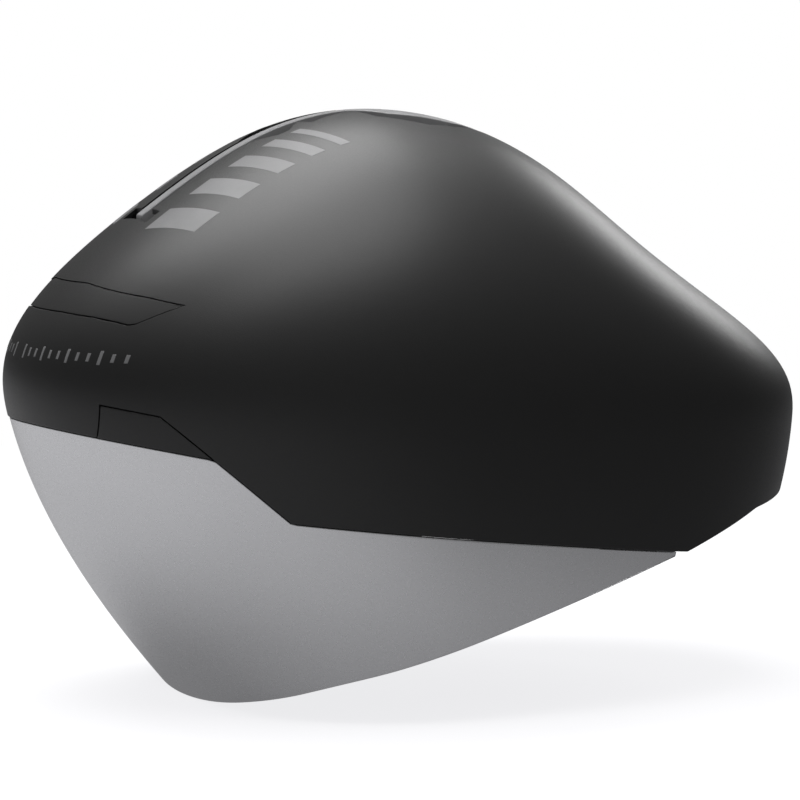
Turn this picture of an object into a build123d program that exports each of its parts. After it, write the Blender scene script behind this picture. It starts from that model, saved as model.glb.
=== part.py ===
from build123d import *
import os
from math import comb, cos, pi, sin, sqrt

# Aero time trial helmet with a wrap-round visor, in millimetres.
# +X points forward, +Y to the wearer's left and +Z up. The origin lies in the middle plane,
# at the widest station of the shell and at the level of its front-most point, the brow.

# Driving dimensions: the head and the foam round it
head_half_length = 103.0
head_half_width = 82.0
head_dome_height = 107.0
head_centre_x = 15.0
head_centre_z = -15.0
foam_front = 24.0
foam_side = 23.0
foam_crown = 25.5
foam_seam = 0.1
foam_splits = (52.0, -28.0)
tail_length = 77.0
skirt_depth = 110.0
crown_shift = 6.0

# Walls, layers and clearances
shell_wall = 1.6
layer_gap = 0.4
seat_gap = 0.4
seam_gap = 0.4
running_gap = 0.05
lens_wall = 2.2
lens_inset = 0.5
dock_sink = 0.3
overrun = 5.0

# The shell's size follows from the head and the foam
shell_side = shell_wall + layer_gap
front_reach = head_centre_x + head_half_length + foam_front + shell_side
rear_reach = head_half_length - head_centre_x + tail_length
half_width = head_half_width + foam_side + shell_side
crown_height = head_centre_z + head_dome_height + foam_crown + shell_side

# How the reach changes from the brow up to the crown, and from the brow down the skirt
front_shares = [1.0, 1.05, 1.13, 0.915, 0.80, 0.80]
rear_shares = [1.0, 1.01, 1.02, 0.77, 0.63, 0.70, 0.64, 0.698]
side_shares = [1.0, 1.0, 1.03, 1.03]
front_skirt_shares = [-0.30, 0.04]
rear_skirt_shares = [-0.25]
side_skirt_shares = [-0.10]
skirt_thicken_share = 0.25

# The plan outline: how full the nose is, and how the flanks draw in towards the tail
nose_power = 2.1
flank_draw_share = 0.25
tail_power = 6.0
cavity_power = 2.6

# Side view of the shell's lower edge: (share of the reach, share of the skirt depth)
edge_nose_shares = (1.14, 0.085)
edge_temple_shares = (0.689, -0.028)
edge_cheek_shares = (0.514, -0.237)
edge_ear_shares = (-0.501, -0.398)
edge_tail_shares = (-0.727, -0.279)
edge_end_shares = (-1.15, -0.205)

# Side view of the visor's lower edge, in the same shares
visor_tip_shares = (-0.468, -0.409)
visor_cheek_shares = (0.238, -0.735)
visor_jaw_shares = [(0.43, -0.826), (0.508, -0.878), (0.57, -0.922)]
visor_nose_shares = (0.75, -0.99)
visor_nose_tangent = (1.0, -0.4)
visor_tip_radius = 0.5
visor_gap = 0.5

# Plan of the crown channel, left half: (share of the front reach, share of the half width)
channel_shares = [(0.694, 0.0), (0.694, 0.131), (0.08, 0.131), (-0.08, 0.31), (-0.57, 0.0)]
spine_shares = [(0.680, 0.0), (0.680, 0.028), (0.06, 0.028), (-0.08, 0.21), (-0.50, 0.0)]
channel_depth = 9.0
duct_wall = 1.5
vent_width = 5.0
vent_length = 17.0
vent_shares = [(-0.02, 0.227), (-0.21, 0.235)]

# Front view of the forehead dock plate: (share of the half width, share of the crown height)
dock_shares = [
    (0.0, 0.480), (0.163, 0.480), (0.464, 0.449), (0.584, 0.429), (0.489, 0.368), (0.464, 0.364),
    (0.410, 0.372), (0.320, 0.382), (0.148, 0.389), (0.0, 0.390),
]
dock_magnet_shares = [(-0.28, 0.425), (0.0, 0.435), (0.28, 0.425)]

# Side view of the brow covers, over the visor's side anchors
cover_shares = [(0.915, -0.05), (0.915, 0.141), (0.802, 0.111), (0.689, -0.028), (0.675, -0.05)]

# Magnets and the anchors that hold the visor
magnet_radius = 4.0
magnet_height = 2.5
anchor_half = 9.0
anchor_depth = 4.4
anchor_lap = 7.0
anchor_side_share = 0.60
frame_wall = 2.0
frame_skirt = 9.0
frame_end_share = 0.495

# Lower rim and tail diffuser
rim_base = 3.5
rim_wall = 2.0
seal_wall = 2.4
tail_split_share = -0.51
slot_width = 6.0
slot_length = 34.0
slot_pitch = 13.0
slot_count = 5
duct_skin = 12.0
duct_half_width = 46.0
hollow_shares = [(-0.60, -1.0), (-0.60, 0.16), (-0.78, 0.10), (-0.93, -0.10), (-0.93, -1.0)]
port_radius = 7.0
port_spacing = 19.0
port_length = 36.0

# Fit pads
pad_edge = 2.6
pad_crown = 3.0
pad_side_draw = 3.0
pad_channel = 2.0
pad_corner = 5.0
brow_pad_length = 104.0
brow_pad_width = 26.0
brow_pad_level = 22.0
crown_pad_length = 92.0
crown_pad_width = 34.0
crown_pad_x = 27.0
side_pad_length = 78.0
side_pad_width = 34.0
side_pad_level = 28.0
rear_pad_length = 84.0
rear_pad_width = 30.0
rear_pad_level = 34.0

# Fit band, its guides and the cradle at the nape
band_height = 12.0
band_wall = 1.2
band_spread = 72.8
band_level = -18.0
band_front = 38.0
band_straight = 4.0
band_rear = 84.0
band_power = 2.4
band_fall_power = 1.5
band_drop = 36.6
band_steps = 14
guide_front = 27.5
guide_length = 10.0
guide_wall = 1.2
cradle_front = -77.0
cradle_length = 27.5
cradle_half_width = 22.0
cradle_top = -45.0
cradle_height = 16.4
height_travel = 8.0
rail_length = 11.0
rail_half_width = 5.0
rail_height = 2.0
rail_web = 2.2
rail_top = -46.2
post_stand = 2.5
post_half_width = 6.0
post_wall = 1.5
post_top = 6.0
post_bottom = -36.0
post_pin_levels = (2.0, -8.0)
click_pitch = 4.0
click_count = 4
carriage_wall = 1.5
carriage_top = -22.0
carriage_bottom = -43.6
carriage_lip = 1.7
dial_radius = 10.4
dial_height = 5.2
dial_level = -54.2
dial_shaft_radius = 2.5
dial_grips = 14
grip_radius = 1.6
grip_circle = 11.0
pinion_radius = 4.0
pinion_teeth = 12
tooth_height = 0.9
pinion_length = 4.0
back_wall = 1.6
nape_pad_wall = 5.4
nape_pad_height = 22.0
nape_pad_front = 46.0
nape_steps = 8

# Straps, their anchors and the buckle
strap_width = 16.0
strap_wall = 1.4
strap_tail_share = 0.10
front_anchor = (58.0, 74.8, -20.0)
rear_anchor = (-40.0, 70.0, -18.0)
fork = (9.0, 79.0, -60.0)
chin_route = [
    (10.0, 79.0, -64.0), (17.0, 76.8, -69.0), (26.0, 69.0, -77.0), (35.0, 58.0, -83.0), (43.0, 45.0, -87.0),
]
chin_up_fork = (0.58, 0.0, 0.81)
chin_up_buckle = (1.0, 0.0, 0.35)
pin_radius = 2.0
pin_head_radius = 4.5
post_pin_head_radius = 3.2
pin_head = 1.0
pin_length = 8.0
divider_size = 20.0
divider_wall = 1.5
buckle_x = 52.0
buckle_z = -90.0
buckle_width = 22.0
buckle_height = 7.0
socket_length = 20.0
tongue_length = 15.0
prong_length = 12.0
prong_width = 2.4
prong_height = 3.0
buckle_wall = 1.8

section_count = 12
skirt_sections = 5
half_points = 9
cap_angle = 0.965 * pi / 2
widest = half_width + overrun
tallest = crown_height + overrun


# Shape of the shell and of every layer under it

def bernstein(shares, along):
    last = len(shares) - 1
    return sum(comb(last, i) * along**i * (1 - along) ** (last - i) * s for i, s in enumerate(shares))


def skirt(shares, skirt_part, drop):
    """Reach below the brow, leaving it with the slope that the upper part has there."""
    slope = (len(shares) - 1) * (shares[1] - shares[0]) * skirt_depth / crown_height
    bend = sum(s * drop ** (i + 2) for i, s in enumerate(skirt_part))
    return 1 - slope * drop + bend


def reaches(level, depth):
    """Front reach, rear reach and half width of the layer at this depth, at one level."""
    top = crown_height - depth
    if level >= 0:
        up = min(level / top, 1)
        arch = sqrt(1 - up**2)
        front = (front_reach - depth) * arch * bernstein(front_shares, up)
        rear = (rear_reach - depth) * arch * bernstein(rear_shares, up)
        side = (half_width - depth) * arch * bernstein(side_shares, up)
        return front, rear, side
    drop = -level / skirt_depth
    inward = depth * (1 + skirt_thicken_share * drop)
    front = front_reach * skirt(front_shares, front_skirt_shares, drop) - inward
    rear = rear_reach * skirt(rear_shares, rear_skirt_shares, drop) - inward
    side = half_width * skirt(side_shares, side_skirt_shares, drop) - inward
    return front, rear, side


def station(level, depth):
    """Where the widest point lies along X: it moves forward towards the crown."""
    return crown_shift * min(max(level / (crown_height - depth), 0), 1) ** 2


def flank(x, level, depth):
    """Half width of the layer at one place in the side view."""
    front, rear, side = reaches(level, depth)
    x = x - station(level, depth)
    if x >= 0:
        return side * sqrt(max(1 - (x / front) ** nose_power, 0))
    back = min(-x / rear, 1)
    return side * (1 - flank_draw_share * back**2) * sqrt(1 - back**tail_power)


def nose(y, level, depth):
    """Forward reach of the layer at one place in the front view."""
    front, rear, side = reaches(level, depth)
    return station(level, depth) + front * (1 - (y / side) ** 2) ** (1 / nose_power)


def mirrored(half):
    """Whole outline from its left half, whose first and last points lie in the middle plane."""
    return half + [(x, -y) for x, y in reversed(half[1:-1])]


def from_back(half, level=0.0):
    """Points of the whole outline at one level, once round from the back."""
    points = [Vector(x, y, level) for x, y in mirrored(half)]
    back = len(half) - 1
    return points[back:] + points[:back]


def runs(half):
    """Distance along the outline to each of its points, and all the way round."""
    points = from_back(half)
    lengths = [0.0]
    for start, end in zip(points, points[1:] + points[:1]):
        lengths.append(lengths[-1] + (end - start).length)
    return lengths


def ring(half, level, pattern):
    """Closed smooth outline at one level. All rings of a form share one pattern, so its skin stays light."""
    return Wire([Edge.make_spline(from_back(half, level), periodic=True, parameters=pattern)])


def layer_half(level, depth):
    """Left half of a layer's outline at one level, front to back."""
    front, rear, side = reaches(level, depth)
    shift = station(level, depth)
    half = []
    for i in range(half_points):
        x = front * cos(pi / 2 * i / half_points) ** (2 / nose_power)
        half.append((x + shift, side * sqrt(max(1 - (x / front) ** nose_power, 0))))
    for i in range(half_points + 1):
        back = sin(pi / 2 * i / half_points)
        draw = (1 - flank_draw_share * back**2) * sqrt(max(1 - back**tail_power, 0))
        half.append((shift - rear * back, side * draw))
    return half


layer_pattern = runs(layer_half(0.0, 0.0))
layers = {}


def layer(depth):
    """Solid bounded by the shell's form moved inwards by this depth."""
    if depth not in layers:
        top = crown_height - depth
        levels = [-skirt_depth * (1 - i / skirt_sections) for i in range(skirt_sections)]
        levels += [top * sin(cap_angle * i / section_count) for i in range(section_count + 1)]
        rings = [ring(layer_half(level, depth), level, layer_pattern) for level in levels]
        layers[depth] = Solid.make_loft(rings)
    return layers[depth]


def skin(depth, wall, keep, remove=()):
    """Wall between two layers, kept inside one body and cut by others."""
    return whole((layer(depth) & keep) - [layer(depth + wall), *remove])


def head_half(level, gap, dome):
    """Left half of the head space's outline at one level, front to back."""
    up = max(level - head_centre_z, 0) / dome
    arch = sqrt(1 - up**2)
    half = []
    for i in range(2 * half_points + 1):
        turn = pi * i / (2 * half_points)
        along = abs(cos(turn)) ** (2 / cavity_power) * (1 if turn <= pi / 2 else -1)
        across = abs(sin(turn)) ** (2 / cavity_power) if 0 < i < 2 * half_points else 0
        x = head_centre_x + (head_half_length - gap) * arch * along
        half.append((x, (head_half_width - gap) * arch * across))
    return half


head_pattern = runs(head_half(head_centre_z, 0.0, head_dome_height))


def head(gap=0.0, droop=0.0):
    """Head space, or the same drawn in by a gap, with its dome lowered: a dome over a straight skirt."""
    dome = head_dome_height - gap - droop
    levels = [-skirt_depth - overrun, (head_centre_z - skirt_depth) / 2]
    levels += [head_centre_z + dome * sin(cap_angle * i / section_count) for i in range(section_count + 1)]
    return Solid.make_loft([ring(head_half(level, gap, dome), level, head_pattern) for level in levels])


# Cutting bodies over flat outlines

def side_prism(corners, low=-widest, high=widest):
    face = Face(Wire.make_polygon([Vector(x, low, z) for x, z in corners]))
    return Solid.extrude(face, Vector(0, high - low, 0))


def front_prism(corners, start=0.0, end=front_reach + overrun):
    face = Face(Wire.make_polygon([Vector(start, y, z) for y, z in corners]))
    return Solid.extrude(face, Vector(end - start, 0, 0))


def plan_prism(corners, low, high):
    face = Face(Wire.make_polygon([Vector(x, y, low) for x, y in corners]))
    return Solid.extrude(face, Vector(0, 0, high - low))


def block(x0, x1, y0, y1, z0, z1):
    """Box between two corners."""
    size = (abs(x1 - x0), abs(y1 - y0), abs(z1 - z0))
    middle = ((x0 + x1) / 2, (y0 + y1) / 2, (z0 + z1) / 2)
    return Pos(*middle) * Box(*size)


def rod(start, direction, radius, length):
    """Round bar from a point along a direction."""
    bar = Cylinder(radius, length, align=(Align.CENTER, Align.CENTER, Align.MIN))
    return Plane(origin=start, z_dir=direction) * bar


def in_side_view(shares):
    x, z = shares
    return (x * (front_reach if x > 0 else rear_reach), z * skirt_depth)


edge_shares = [edge_nose_shares, edge_temple_shares, edge_cheek_shares]
edge_shares += [edge_ear_shares, edge_tail_shares, edge_end_shares]
edge_line = [in_side_view(s) for s in edge_shares]


def above_edge(lift):
    """Everything above the shell's lower edge, lifted by a height."""
    corners = [(x, z + lift) for x, z in edge_line]
    return corners + [(edge_line[-1][0], tallest), (edge_line[0][0], tallest)]


def edge_band(low, high):
    """Band along the lower edge between two heights over it."""
    return [(x, z + low) for x, z in edge_line] + [(x, z + high) for x, z in reversed(edge_line)]


def grown(corners, amount, low, high):
    """Plan outline grown or drawn in evenly, as a prism."""
    sketch = make_face(Polyline(*mirrored(corners), close=True))
    return extrude(Pos(0, 0, low) * offset(sketch, amount, kind=Kind.INTERSECTION), high - low)


def both_sides(solid):
    return {"left": solid, "right": mirror(solid, Plane.XZ)}


def whole(shape):
    """The solids of a shape as one compound, or the solid itself."""
    solids = shape.solids()
    return solids[0] if len(solids) == 1 else Compound(children=solids)


parts = {}

# Outer shell, with its crown channel, dock recess and brow cover windows

channel_half = [(x * front_reach, y * half_width) for x, y in channel_shares]
spine_half = [(x * front_reach, y * half_width) for x, y in spine_shares]
dock_half = [(y * half_width, z * crown_height) for y, z in dock_shares]
dock_outline = dock_half + [(-y, z) for y, z in reversed(dock_half[1:-1])]
channel_low = crown_height / 4
cover_outline = [(x * front_reach, z * skirt_depth) for x, z in cover_shares]
cover_start = half_width / 8


def shrunk_front(corners, amount, start, end):
    sketch = make_face(Polyline(*[(y, z) for y, z in corners], close=True))
    return extrude(Plane.YZ.offset(start) * offset(sketch, -amount, kind=Kind.INTERSECTION), end - start)


def shrunk_side(corners, amount, start, end):
    sketch = make_face(Polyline(*[(x, z) for x, z in corners], close=True))
    return extrude(Plane.XZ.offset(-start) * offset(sketch, -amount, kind=Kind.INTERSECTION), start - end)


dock_start = front_reach / 3
dock_end = front_reach + overrun
dock_window = front_prism(dock_outline, dock_start, dock_end)
cover_window = side_prism(cover_outline, cover_start, widest)
channel_window = plan_prism(mirrored(channel_half), channel_low, tallest)

windows = [channel_window, dock_window] + list(both_sides(cover_window).values())
parts["outer_shell"] = skin(0.0, shell_wall, side_prism(above_edge(0.0)), windows)

# Flush covers in the shell

dock_core = shrunk_front(dock_outline, seam_gap, dock_start, dock_end)
parts["dock_plate"] = skin(dock_sink, shell_wall - dock_sink, dock_core)
cover_core = shrunk_side(cover_outline, seam_gap, cover_start, widest)
brow_cover = skin(0.0, shell_wall, side_prism(above_edge(0.0)) & cover_core)
for name, solid in both_sides(brow_cover).items():
    parts["brow_cover_" + name] = solid

# Crown duct: a tray under the channel, with the vents in its floor

duct_outer = grown(channel_half, -seat_gap, channel_low, tallest)
duct_floor = channel_depth + duct_wall


def vent_slot(x, y):
    slot = SlotOverall(vent_length, vent_width)
    return Pos(x, y, 0) * extrude(slot, tallest)


vents = []
for x_share, y_share in vent_shares:
    for side in (1, -1):
        vents.append(vent_slot(x_share * front_reach, side * y_share * half_width))
parts["crown_duct"] = (layer(channel_depth) & duct_outer) - [layer(duct_floor)] - vents

spine = (layer(0.0) & grown(spine_half, 0.0, channel_low, tallest)) - layer(channel_depth - seat_gap)
parts["crown_spine"] = spine

# Foam liner

head_space = head()
foam_blank = layer(shell_side) & side_prism(above_edge(rim_base + rim_wall + seat_gap))
frame_end = frame_end_share * front_reach
channel_pocket = grown(channel_half, 0.0, channel_low, tallest) - layer(duct_floor + layer_gap)
foam_cuts = [head_space, channel_pocket] + vents

# The tail is hollow behind the head: two ports lead into it, and slots lead out
tail_split = tail_split_share * rear_reach
hollow_outline = [in_side_view(s) for s in hollow_shares]
tail_hollow = layer(duct_skin) & side_prism(hollow_outline, -duct_half_width, duct_half_width)
foam_cuts.append(tail_hollow)
port_start = hollow_outline[0][0] - port_radius
for side in (1, -1):
    foam_cuts.append(rod((port_start, side * port_spacing, 0), (1, 0, 0), port_radius, port_length))

# Magnets in pockets under the dock plate
magnets = []
for y_share, z_share in dock_magnet_shares:
    y = y_share * half_width
    z = z_share * crown_height
    face_depth = shell_side + 4 * layer_gap
    rim_y = [y - magnet_radius, y, y + magnet_radius]
    x = min(nose(a, b, face_depth) for a in rim_y for b in (z, z + magnet_radius))
    magnets.append(rod((x, y, z), (-1, 0, 0), magnet_radius, magnet_height))
    pocket_start = (x - magnet_height - layer_gap, y, z)
    foam_cuts.append(rod(pocket_start, (1, 0, 0), magnet_radius + layer_gap, front_reach / 4))
parts["dock_magnets"] = whole(Compound(children=magnets))

# Visor lens with its anchors and magnets

visor_top = [(x, z - visor_gap) for x, z in edge_line[:4]]
tip_x, tip_z = in_side_view(visor_tip_shares)
slope = (visor_top[2][1] - visor_top[3][1]) / (visor_top[2][0] - visor_top[3][0])
tip_top = (tip_x, visor_top[2][1] + slope * (tip_x - visor_top[2][0]))
jaw = [in_side_view(s) for s in visor_jaw_shares]
visor_low = [in_side_view(visor_cheek_shares)] + jaw + [in_side_view(visor_nose_shares)]
visor_edges = [
    Polyline(*[(x, z) for x, z in visor_top[:3]], tip_top, (tip_x, tip_z), visor_low[0]),
    Spline(*visor_low, tangents=((visor_low[0][0] - tip_x, visor_low[0][1] - tip_z), visor_nose_tangent)),
    Line(visor_low[-1], visor_top[0]),
]
visor_face = make_face(Curve() + visor_edges)
visor_profile = extrude(Plane.XZ.offset(-widest) * visor_face, 2 * widest)
tip_edges = visor_profile.edges().filter_by(Axis.Y).sort_by(Axis.X)[:2]
visor_profile = fillet(tip_edges, visor_tip_radius)
parts["visor_lens"] = skin(lens_inset, lens_wall, visor_profile)

anchor_x = anchor_side_share * front_reach
lens_inner = lens_inset + lens_wall
anchor_outer = lens_inner + seat_gap
anchor_inner = anchor_outer + anchor_depth
anchors = []
nose_anchor = block(front_reach / 2, front_reach + overrun, -anchor_half, anchor_half, -anchor_lap, 0)
side_edge = edge_line[2][1] + (edge_line[1][1] - edge_line[2][1]) * (anchor_x - edge_line[2][0]) / (
    edge_line[1][0] - edge_line[2][0]
)
side_top = side_edge - 4 * visor_gap - anchor_lap / 2
side_block = block(
    anchor_x - anchor_half, anchor_x, cover_start, widest, side_top - anchor_lap, side_top
)
for blank in [nose_anchor] + list(both_sides(side_block).values()):
    anchors.append(skin(anchor_outer, anchor_depth, blank))
parts["visor_anchors"] = whole(Compound(children=[a.solids()[0] for a in anchors]))

# Visor frame: a ledge behind the visor's top edge, open forwards where the anchors pass
clear = 1.5 * seat_gap
nose_pass = block(
    front_reach / 2, front_reach + overrun,
    -anchor_half - clear, anchor_half + clear, -anchor_lap - clear, clear
)
side_inner = flank(anchor_x, side_top - anchor_lap / 2, anchor_inner) - 3 * clear
side_pass = block(
    anchor_x - anchor_half - clear, front_reach + overrun, side_inner, widest,
    side_top - anchor_lap - clear, side_top + clear,
)
front_part = block(frame_end, front_reach + overrun, -widest, widest, -skirt_depth, tallest)
passes = [nose_pass] + list(both_sides(side_pass).values())
frame_band = side_prism(edge_band(-frame_skirt, rim_base - seat_gap)) & front_part
parts["visor_frame"] = skin(lens_inner + seat_gap, frame_wall, frame_band, passes)

# Edge seal: a soft strip inside the shell's lower edge, from the frame to the middle of the tail
rear_part = block(-rear_reach - overrun, frame_end - seat_gap, seat_gap / 2, widest, -skirt_depth, tallest)
seal_band = side_prism(edge_band(seat_gap, rim_base - seat_gap)) & rear_part
seal = skin(shell_side, seal_wall, seal_band)
for name, solid in both_sides(seal).items():
    parts["edge_seal_" + name] = solid

# Lower rim under the foam, round the head opening, and the tail diffuser behind it
rim_plate = (layer(shell_side) & side_prism(edge_band(rim_base, rim_base + rim_wall))) - head_space
rim_part = block(tail_split, front_reach + overrun, seat_gap / 2, widest, -skirt_depth, tallest)
for name, solid in both_sides(rim_plate & rim_part).items():
    parts["lower_rim_" + name] = solid
tail_part = block(-rear_reach - overrun, tail_split - seat_gap, -widest, widest, -skirt_depth, tallest)
slot_middle = (tail_split + hollow_outline[-1][0]) / 2
tail_slots = []
for i in range(slot_count):
    y = (i - (slot_count - 1) / 2) * slot_pitch
    tail_slot = extrude(SlotOverall(slot_length, slot_width), skirt_depth)
    tail_slots.append(Pos(slot_middle, y, -skirt_depth) * tail_slot)
parts["tail_diffuser"] = (rim_plate & tail_part) - tail_slots

# Fit pads: crowned cushions on the foam, drawn in between their corners

pad_space = head(seat_gap)
pad_inner = head(seat_gap + pad_edge)
pad_under = head(seat_gap + pad_edge, pad_crown)
pad_groove = head(seat_gap + pad_edge - pad_channel / 2)


def cushion(length, width):
    """Flat outline with rounded corners and sides drawn in between them."""
    a = length / 2
    b = width / 2
    corners = [(a, b), (-a, b), (-a, -b), (a, -b)]
    middles = [(0, b - pad_side_draw), (-a + pad_side_draw, 0), (0, -b + pad_side_draw), (a - pad_side_draw, 0)]
    arcs = [ThreePointArc(corners[i], middles[i], corners[(i + 1) % 4]) for i in range(4)]
    sketch = make_face(Curve() + arcs)
    return fillet(sketch.vertices(), pad_corner)


def pad(plane, length, width, inner, depth):
    """Cushion on the foam: thickest in its middle, with one sewn channel across it."""
    blank = extrude(plane * cushion(length, width), depth)
    groove = plane * Box(pad_channel, width, 2 * depth)
    solid = (pad_space & blank) - inner
    return solid - (groove & pad_groove)


def pushed(x, y):
    """Inner face of the pads, moved away from the foam so that a pad swells in its middle."""
    return pad_inner.moved(Location((x, y, 0)))


brow_plane = Plane(origin=(head_centre_x, 0, brow_pad_level), x_dir=(0, 1, 0), z_dir=(1, 0, 0))
parts["brow_pad"] = pad(brow_plane, brow_pad_length, brow_pad_width, pushed(-pad_crown, 0), front_reach)
crown_plane = Plane(origin=(crown_pad_x, 0, 0), x_dir=(1, 0, 0), z_dir=(0, 0, 1))
parts["crown_pad"] = pad(crown_plane, crown_pad_length, crown_pad_width, pad_under, tallest)
side_plane = Plane(origin=(head_centre_x, 0, side_pad_level), x_dir=(1, 0, 0), z_dir=(0, 1, 0))
side_pad = pad(side_plane, side_pad_length, side_pad_width, pushed(0, -pad_crown), widest)
for name, solid in both_sides(side_pad).items():
    parts["side_pad_" + name] = solid
rear_plane = Plane(origin=(head_centre_x, 0, rear_pad_level), x_dir=(0, 1, 0), z_dir=(-1, 0, 0))
parts["rear_pad"] = pad(rear_plane, rear_pad_length, rear_pad_width, pushed(pad_crown, 0), rear_reach)


# Flat bands and straps, lofted through upright or turned sections

def band_section(point, along, up, wall, height):
    """Rectangle across a band at one point."""
    along = Vector(*along).normalized()
    across = along.cross(Vector(*up)).normalized()
    rise = across.cross(along)
    middle = Vector(*point)
    corners = [(1, 1), (1, -1), (-1, -1), (-1, 1)]
    return Wire.make_polygon([middle + across * (a * wall / 2) + rise * (b * height / 2) for a, b in corners])


def ribbon(points, ups, walls, heights):
    """Flat band through a list of points; each up gives the direction of its width there."""
    sections = []
    for i, point in enumerate(points):
        before = points[max(i - 1, 0)]
        after = points[min(i + 1, len(points) - 1)]
        along = [b - a for a, b in zip(before, after)]
        sections.append(band_section(point, along, ups[i], walls[i], heights[i]))
    return Solid.make_loft(sections, ruled=True)


band_back = band_straight + band_rear


def band_point(share, inset=0.0):
    """Middle of the fit band at a share of its curved stretch, where it falls towards the nape."""
    side = (band_spread - inset) * (1 - share**band_power) ** (1 / band_power)
    x = band_straight - (band_back - inset) * share
    return (x, side, band_level - band_drop * share**band_fall_power)


def band_run(first_side, last_side, steps, inset=0.0):
    """Points along the curved stretch between two half widths."""
    points = []
    for i in range(steps + 1):
        side = first_side + (last_side - first_side) * i / steps
        share = (1 - (side / (band_spread - inset)) ** band_power) ** (1 / band_power)
        points.append(band_point(share, inset))
    return points


pocket_depth = cradle_half_width / 4
band_end_side = cradle_half_width - pocket_depth
curve = band_run(band_spread - seat_gap, band_end_side, band_steps)
band_points = [(x, band_spread, band_level) for x in (band_front, band_straight + overrun)] + curve
band_count = len(band_points)
band = ribbon(band_points, [(0, 0, 1)] * band_count, [band_wall] * band_count, [band_height] * band_count)
for name, solid in both_sides(band).items():
    parts["fit_band_" + name] = solid

nape_inset = band_wall / 2 + nape_pad_wall / 2 + seat_gap
nape_points = band_run(nape_pad_front, cradle_half_width + 4 * band_wall, nape_steps, nape_inset)
swell_shares = [sin(pi * (i + 0.5) / (nape_steps + 1)) for i in range(nape_steps + 1)]
nape_walls = [nape_pad_wall * (1 + s) / 2 for s in swell_shares]
nape_heights = [nape_pad_height * (3 + s) / 4 for s in swell_shares]
nape_pad = ribbon(nape_points, [(0, 0, 1)] * len(nape_points), nape_walls, nape_heights)
for name, solid in both_sides(nape_pad).items():
    parts["nape_pad_" + name] = solid

# Temple guides: tall loops on the foam that the bands run through

slot_half = band_wall / 2 + seat_gap
guide_inner = band_spread - slot_half - guide_wall
guide_outer = head_half_width - 2.5 * seat_gap
guide_low = band_level - band_height / 2 - height_travel - 3 * seat_gap
guide_high = band_level + band_height / 2 + seat_gap
guide_back = guide_front - guide_length
guide_base = guide_low - guide_wall
guide = block(guide_back, guide_front, guide_inner, guide_outer, guide_base, guide_high + guide_wall)
guide = guide - block(
    guide_back - overrun, guide_front + overrun,
    band_spread - slot_half, band_spread + slot_half, guide_low, guide_high,
)
guide = guide & head(seat_gap)
for name, solid in both_sides(guide).items():
    parts["temple_guide_" + name] = solid

# Height post on the foam behind the head, and the carriage that slides down it

wall_x = head_centre_x - head_half_length
post_back = wall_x + post_stand
post_front = post_back + post_wall
post = block(post_back, post_front, -post_half_width, post_half_width, post_bottom, post_top)
for i in range(click_count):
    z = post_bottom + overrun + i * click_pitch
    post = post - rod((post_front, -post_half_width, z), (0, 1, 0), post_wall / 4, 2 * post_half_width)
parts["height_post"] = post

carriage_back = post_front + seat_gap
carriage_front = carriage_back + carriage_wall
lip_inner = post_half_width + seat_gap
lip_outer = lip_inner + carriage_lip
carriage = block(post_back, carriage_front, -lip_outer, lip_outer, carriage_bottom, carriage_top)
carriage = carriage - block(
    post_back - overrun, carriage_back, -lip_inner, lip_inner,
    carriage_bottom - overrun, carriage_top + overrun,
)
rail_front = cradle_front - rail_height
rail_back = rail_front - rail_length
rail = block(rail_back, rail_front, -rail_half_width, rail_half_width, rail_top - rail_height, rail_top)
web = block(rail_back, rail_front, -rail_web, rail_web, rail_top, carriage_bottom)
parts["height_carriage"] = carriage + rail + web

# Cradle at the nape, with the dial that draws it forward

cradle_back = cradle_front - cradle_length
cradle_bottom = cradle_top - cradle_height
cradle = block(cradle_back, cradle_front, -cradle_half_width, cradle_half_width, cradle_bottom, cradle_top)
cradle = fillet(cradle.edges().filter_by(Axis.X), cradle_height / 4)
slot_back = cradle_back - overrun
slot_front = rail_front + seat_gap
web_half = rail_web + seat_gap
rail_half = rail_half_width + seat_gap
rail_low = rail_top - rail_height - seat_gap
cradle = cradle - block(slot_back, slot_front, -web_half, web_half, rail_top - seat_gap, 0)
cradle = cradle - block(slot_back, slot_front, -rail_half, rail_half, rail_low, rail_top + seat_gap)
band_end_x = band_point(1.0)[0]
band_end_z = curve[-1][2]
pocket_half = band_height / 2 + 3 * seat_gap
pocket_inner = band_end_side - 3 * seat_gap
pocket = block(
    band_end_x - 2 * band_wall, band_end_x + 4 * band_wall, pocket_inner, cradle_half_width + overrun,
    band_end_z - pocket_half, band_end_z + pocket_half,
)
for cut in both_sides(pocket).values():
    cradle = cradle - cut
gear_room = pinion_radius + tooth_height + seat_gap
gear_length = pinion_length + 2 * seat_gap
cradle = cradle - rod((cradle_back, 0, dial_level), (1, 0, 0), gear_room, back_wall + gear_length)
parts["cradle_housing"] = cradle

cover = rod((cradle_back, 0, dial_level), (1, 0, 0), gear_room - layer_gap, back_wall)
shaft_hole = dial_shaft_radius + running_gap
cover = cover - rod((cradle_back - overrun, 0, dial_level), (1, 0, 0), shaft_hole, 4 * overrun)
parts["cradle_cover"] = cover

dial_face = cradle_back - seat_gap
dial = rod((dial_face - dial_height, 0, dial_level), (1, 0, 0), dial_radius, dial_height)
dial = chamfer(dial.edges().filter_by(GeomType.CIRCLE), dial_height / 8)
for i in range(dial_grips):
    turn = 2 * pi * i / dial_grips
    y = grip_circle * sin(turn)
    centre = (dial_face - dial_height - overrun, y, dial_level + grip_circle * cos(turn))
    dial = dial - rod(centre, (1, 0, 0), grip_radius, 3 * overrun)
shaft = rod((dial_face, 0, dial_level), (1, 0, 0), dial_shaft_radius, back_wall + gear_length)
parts["fit_dial"] = dial + shaft

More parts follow.
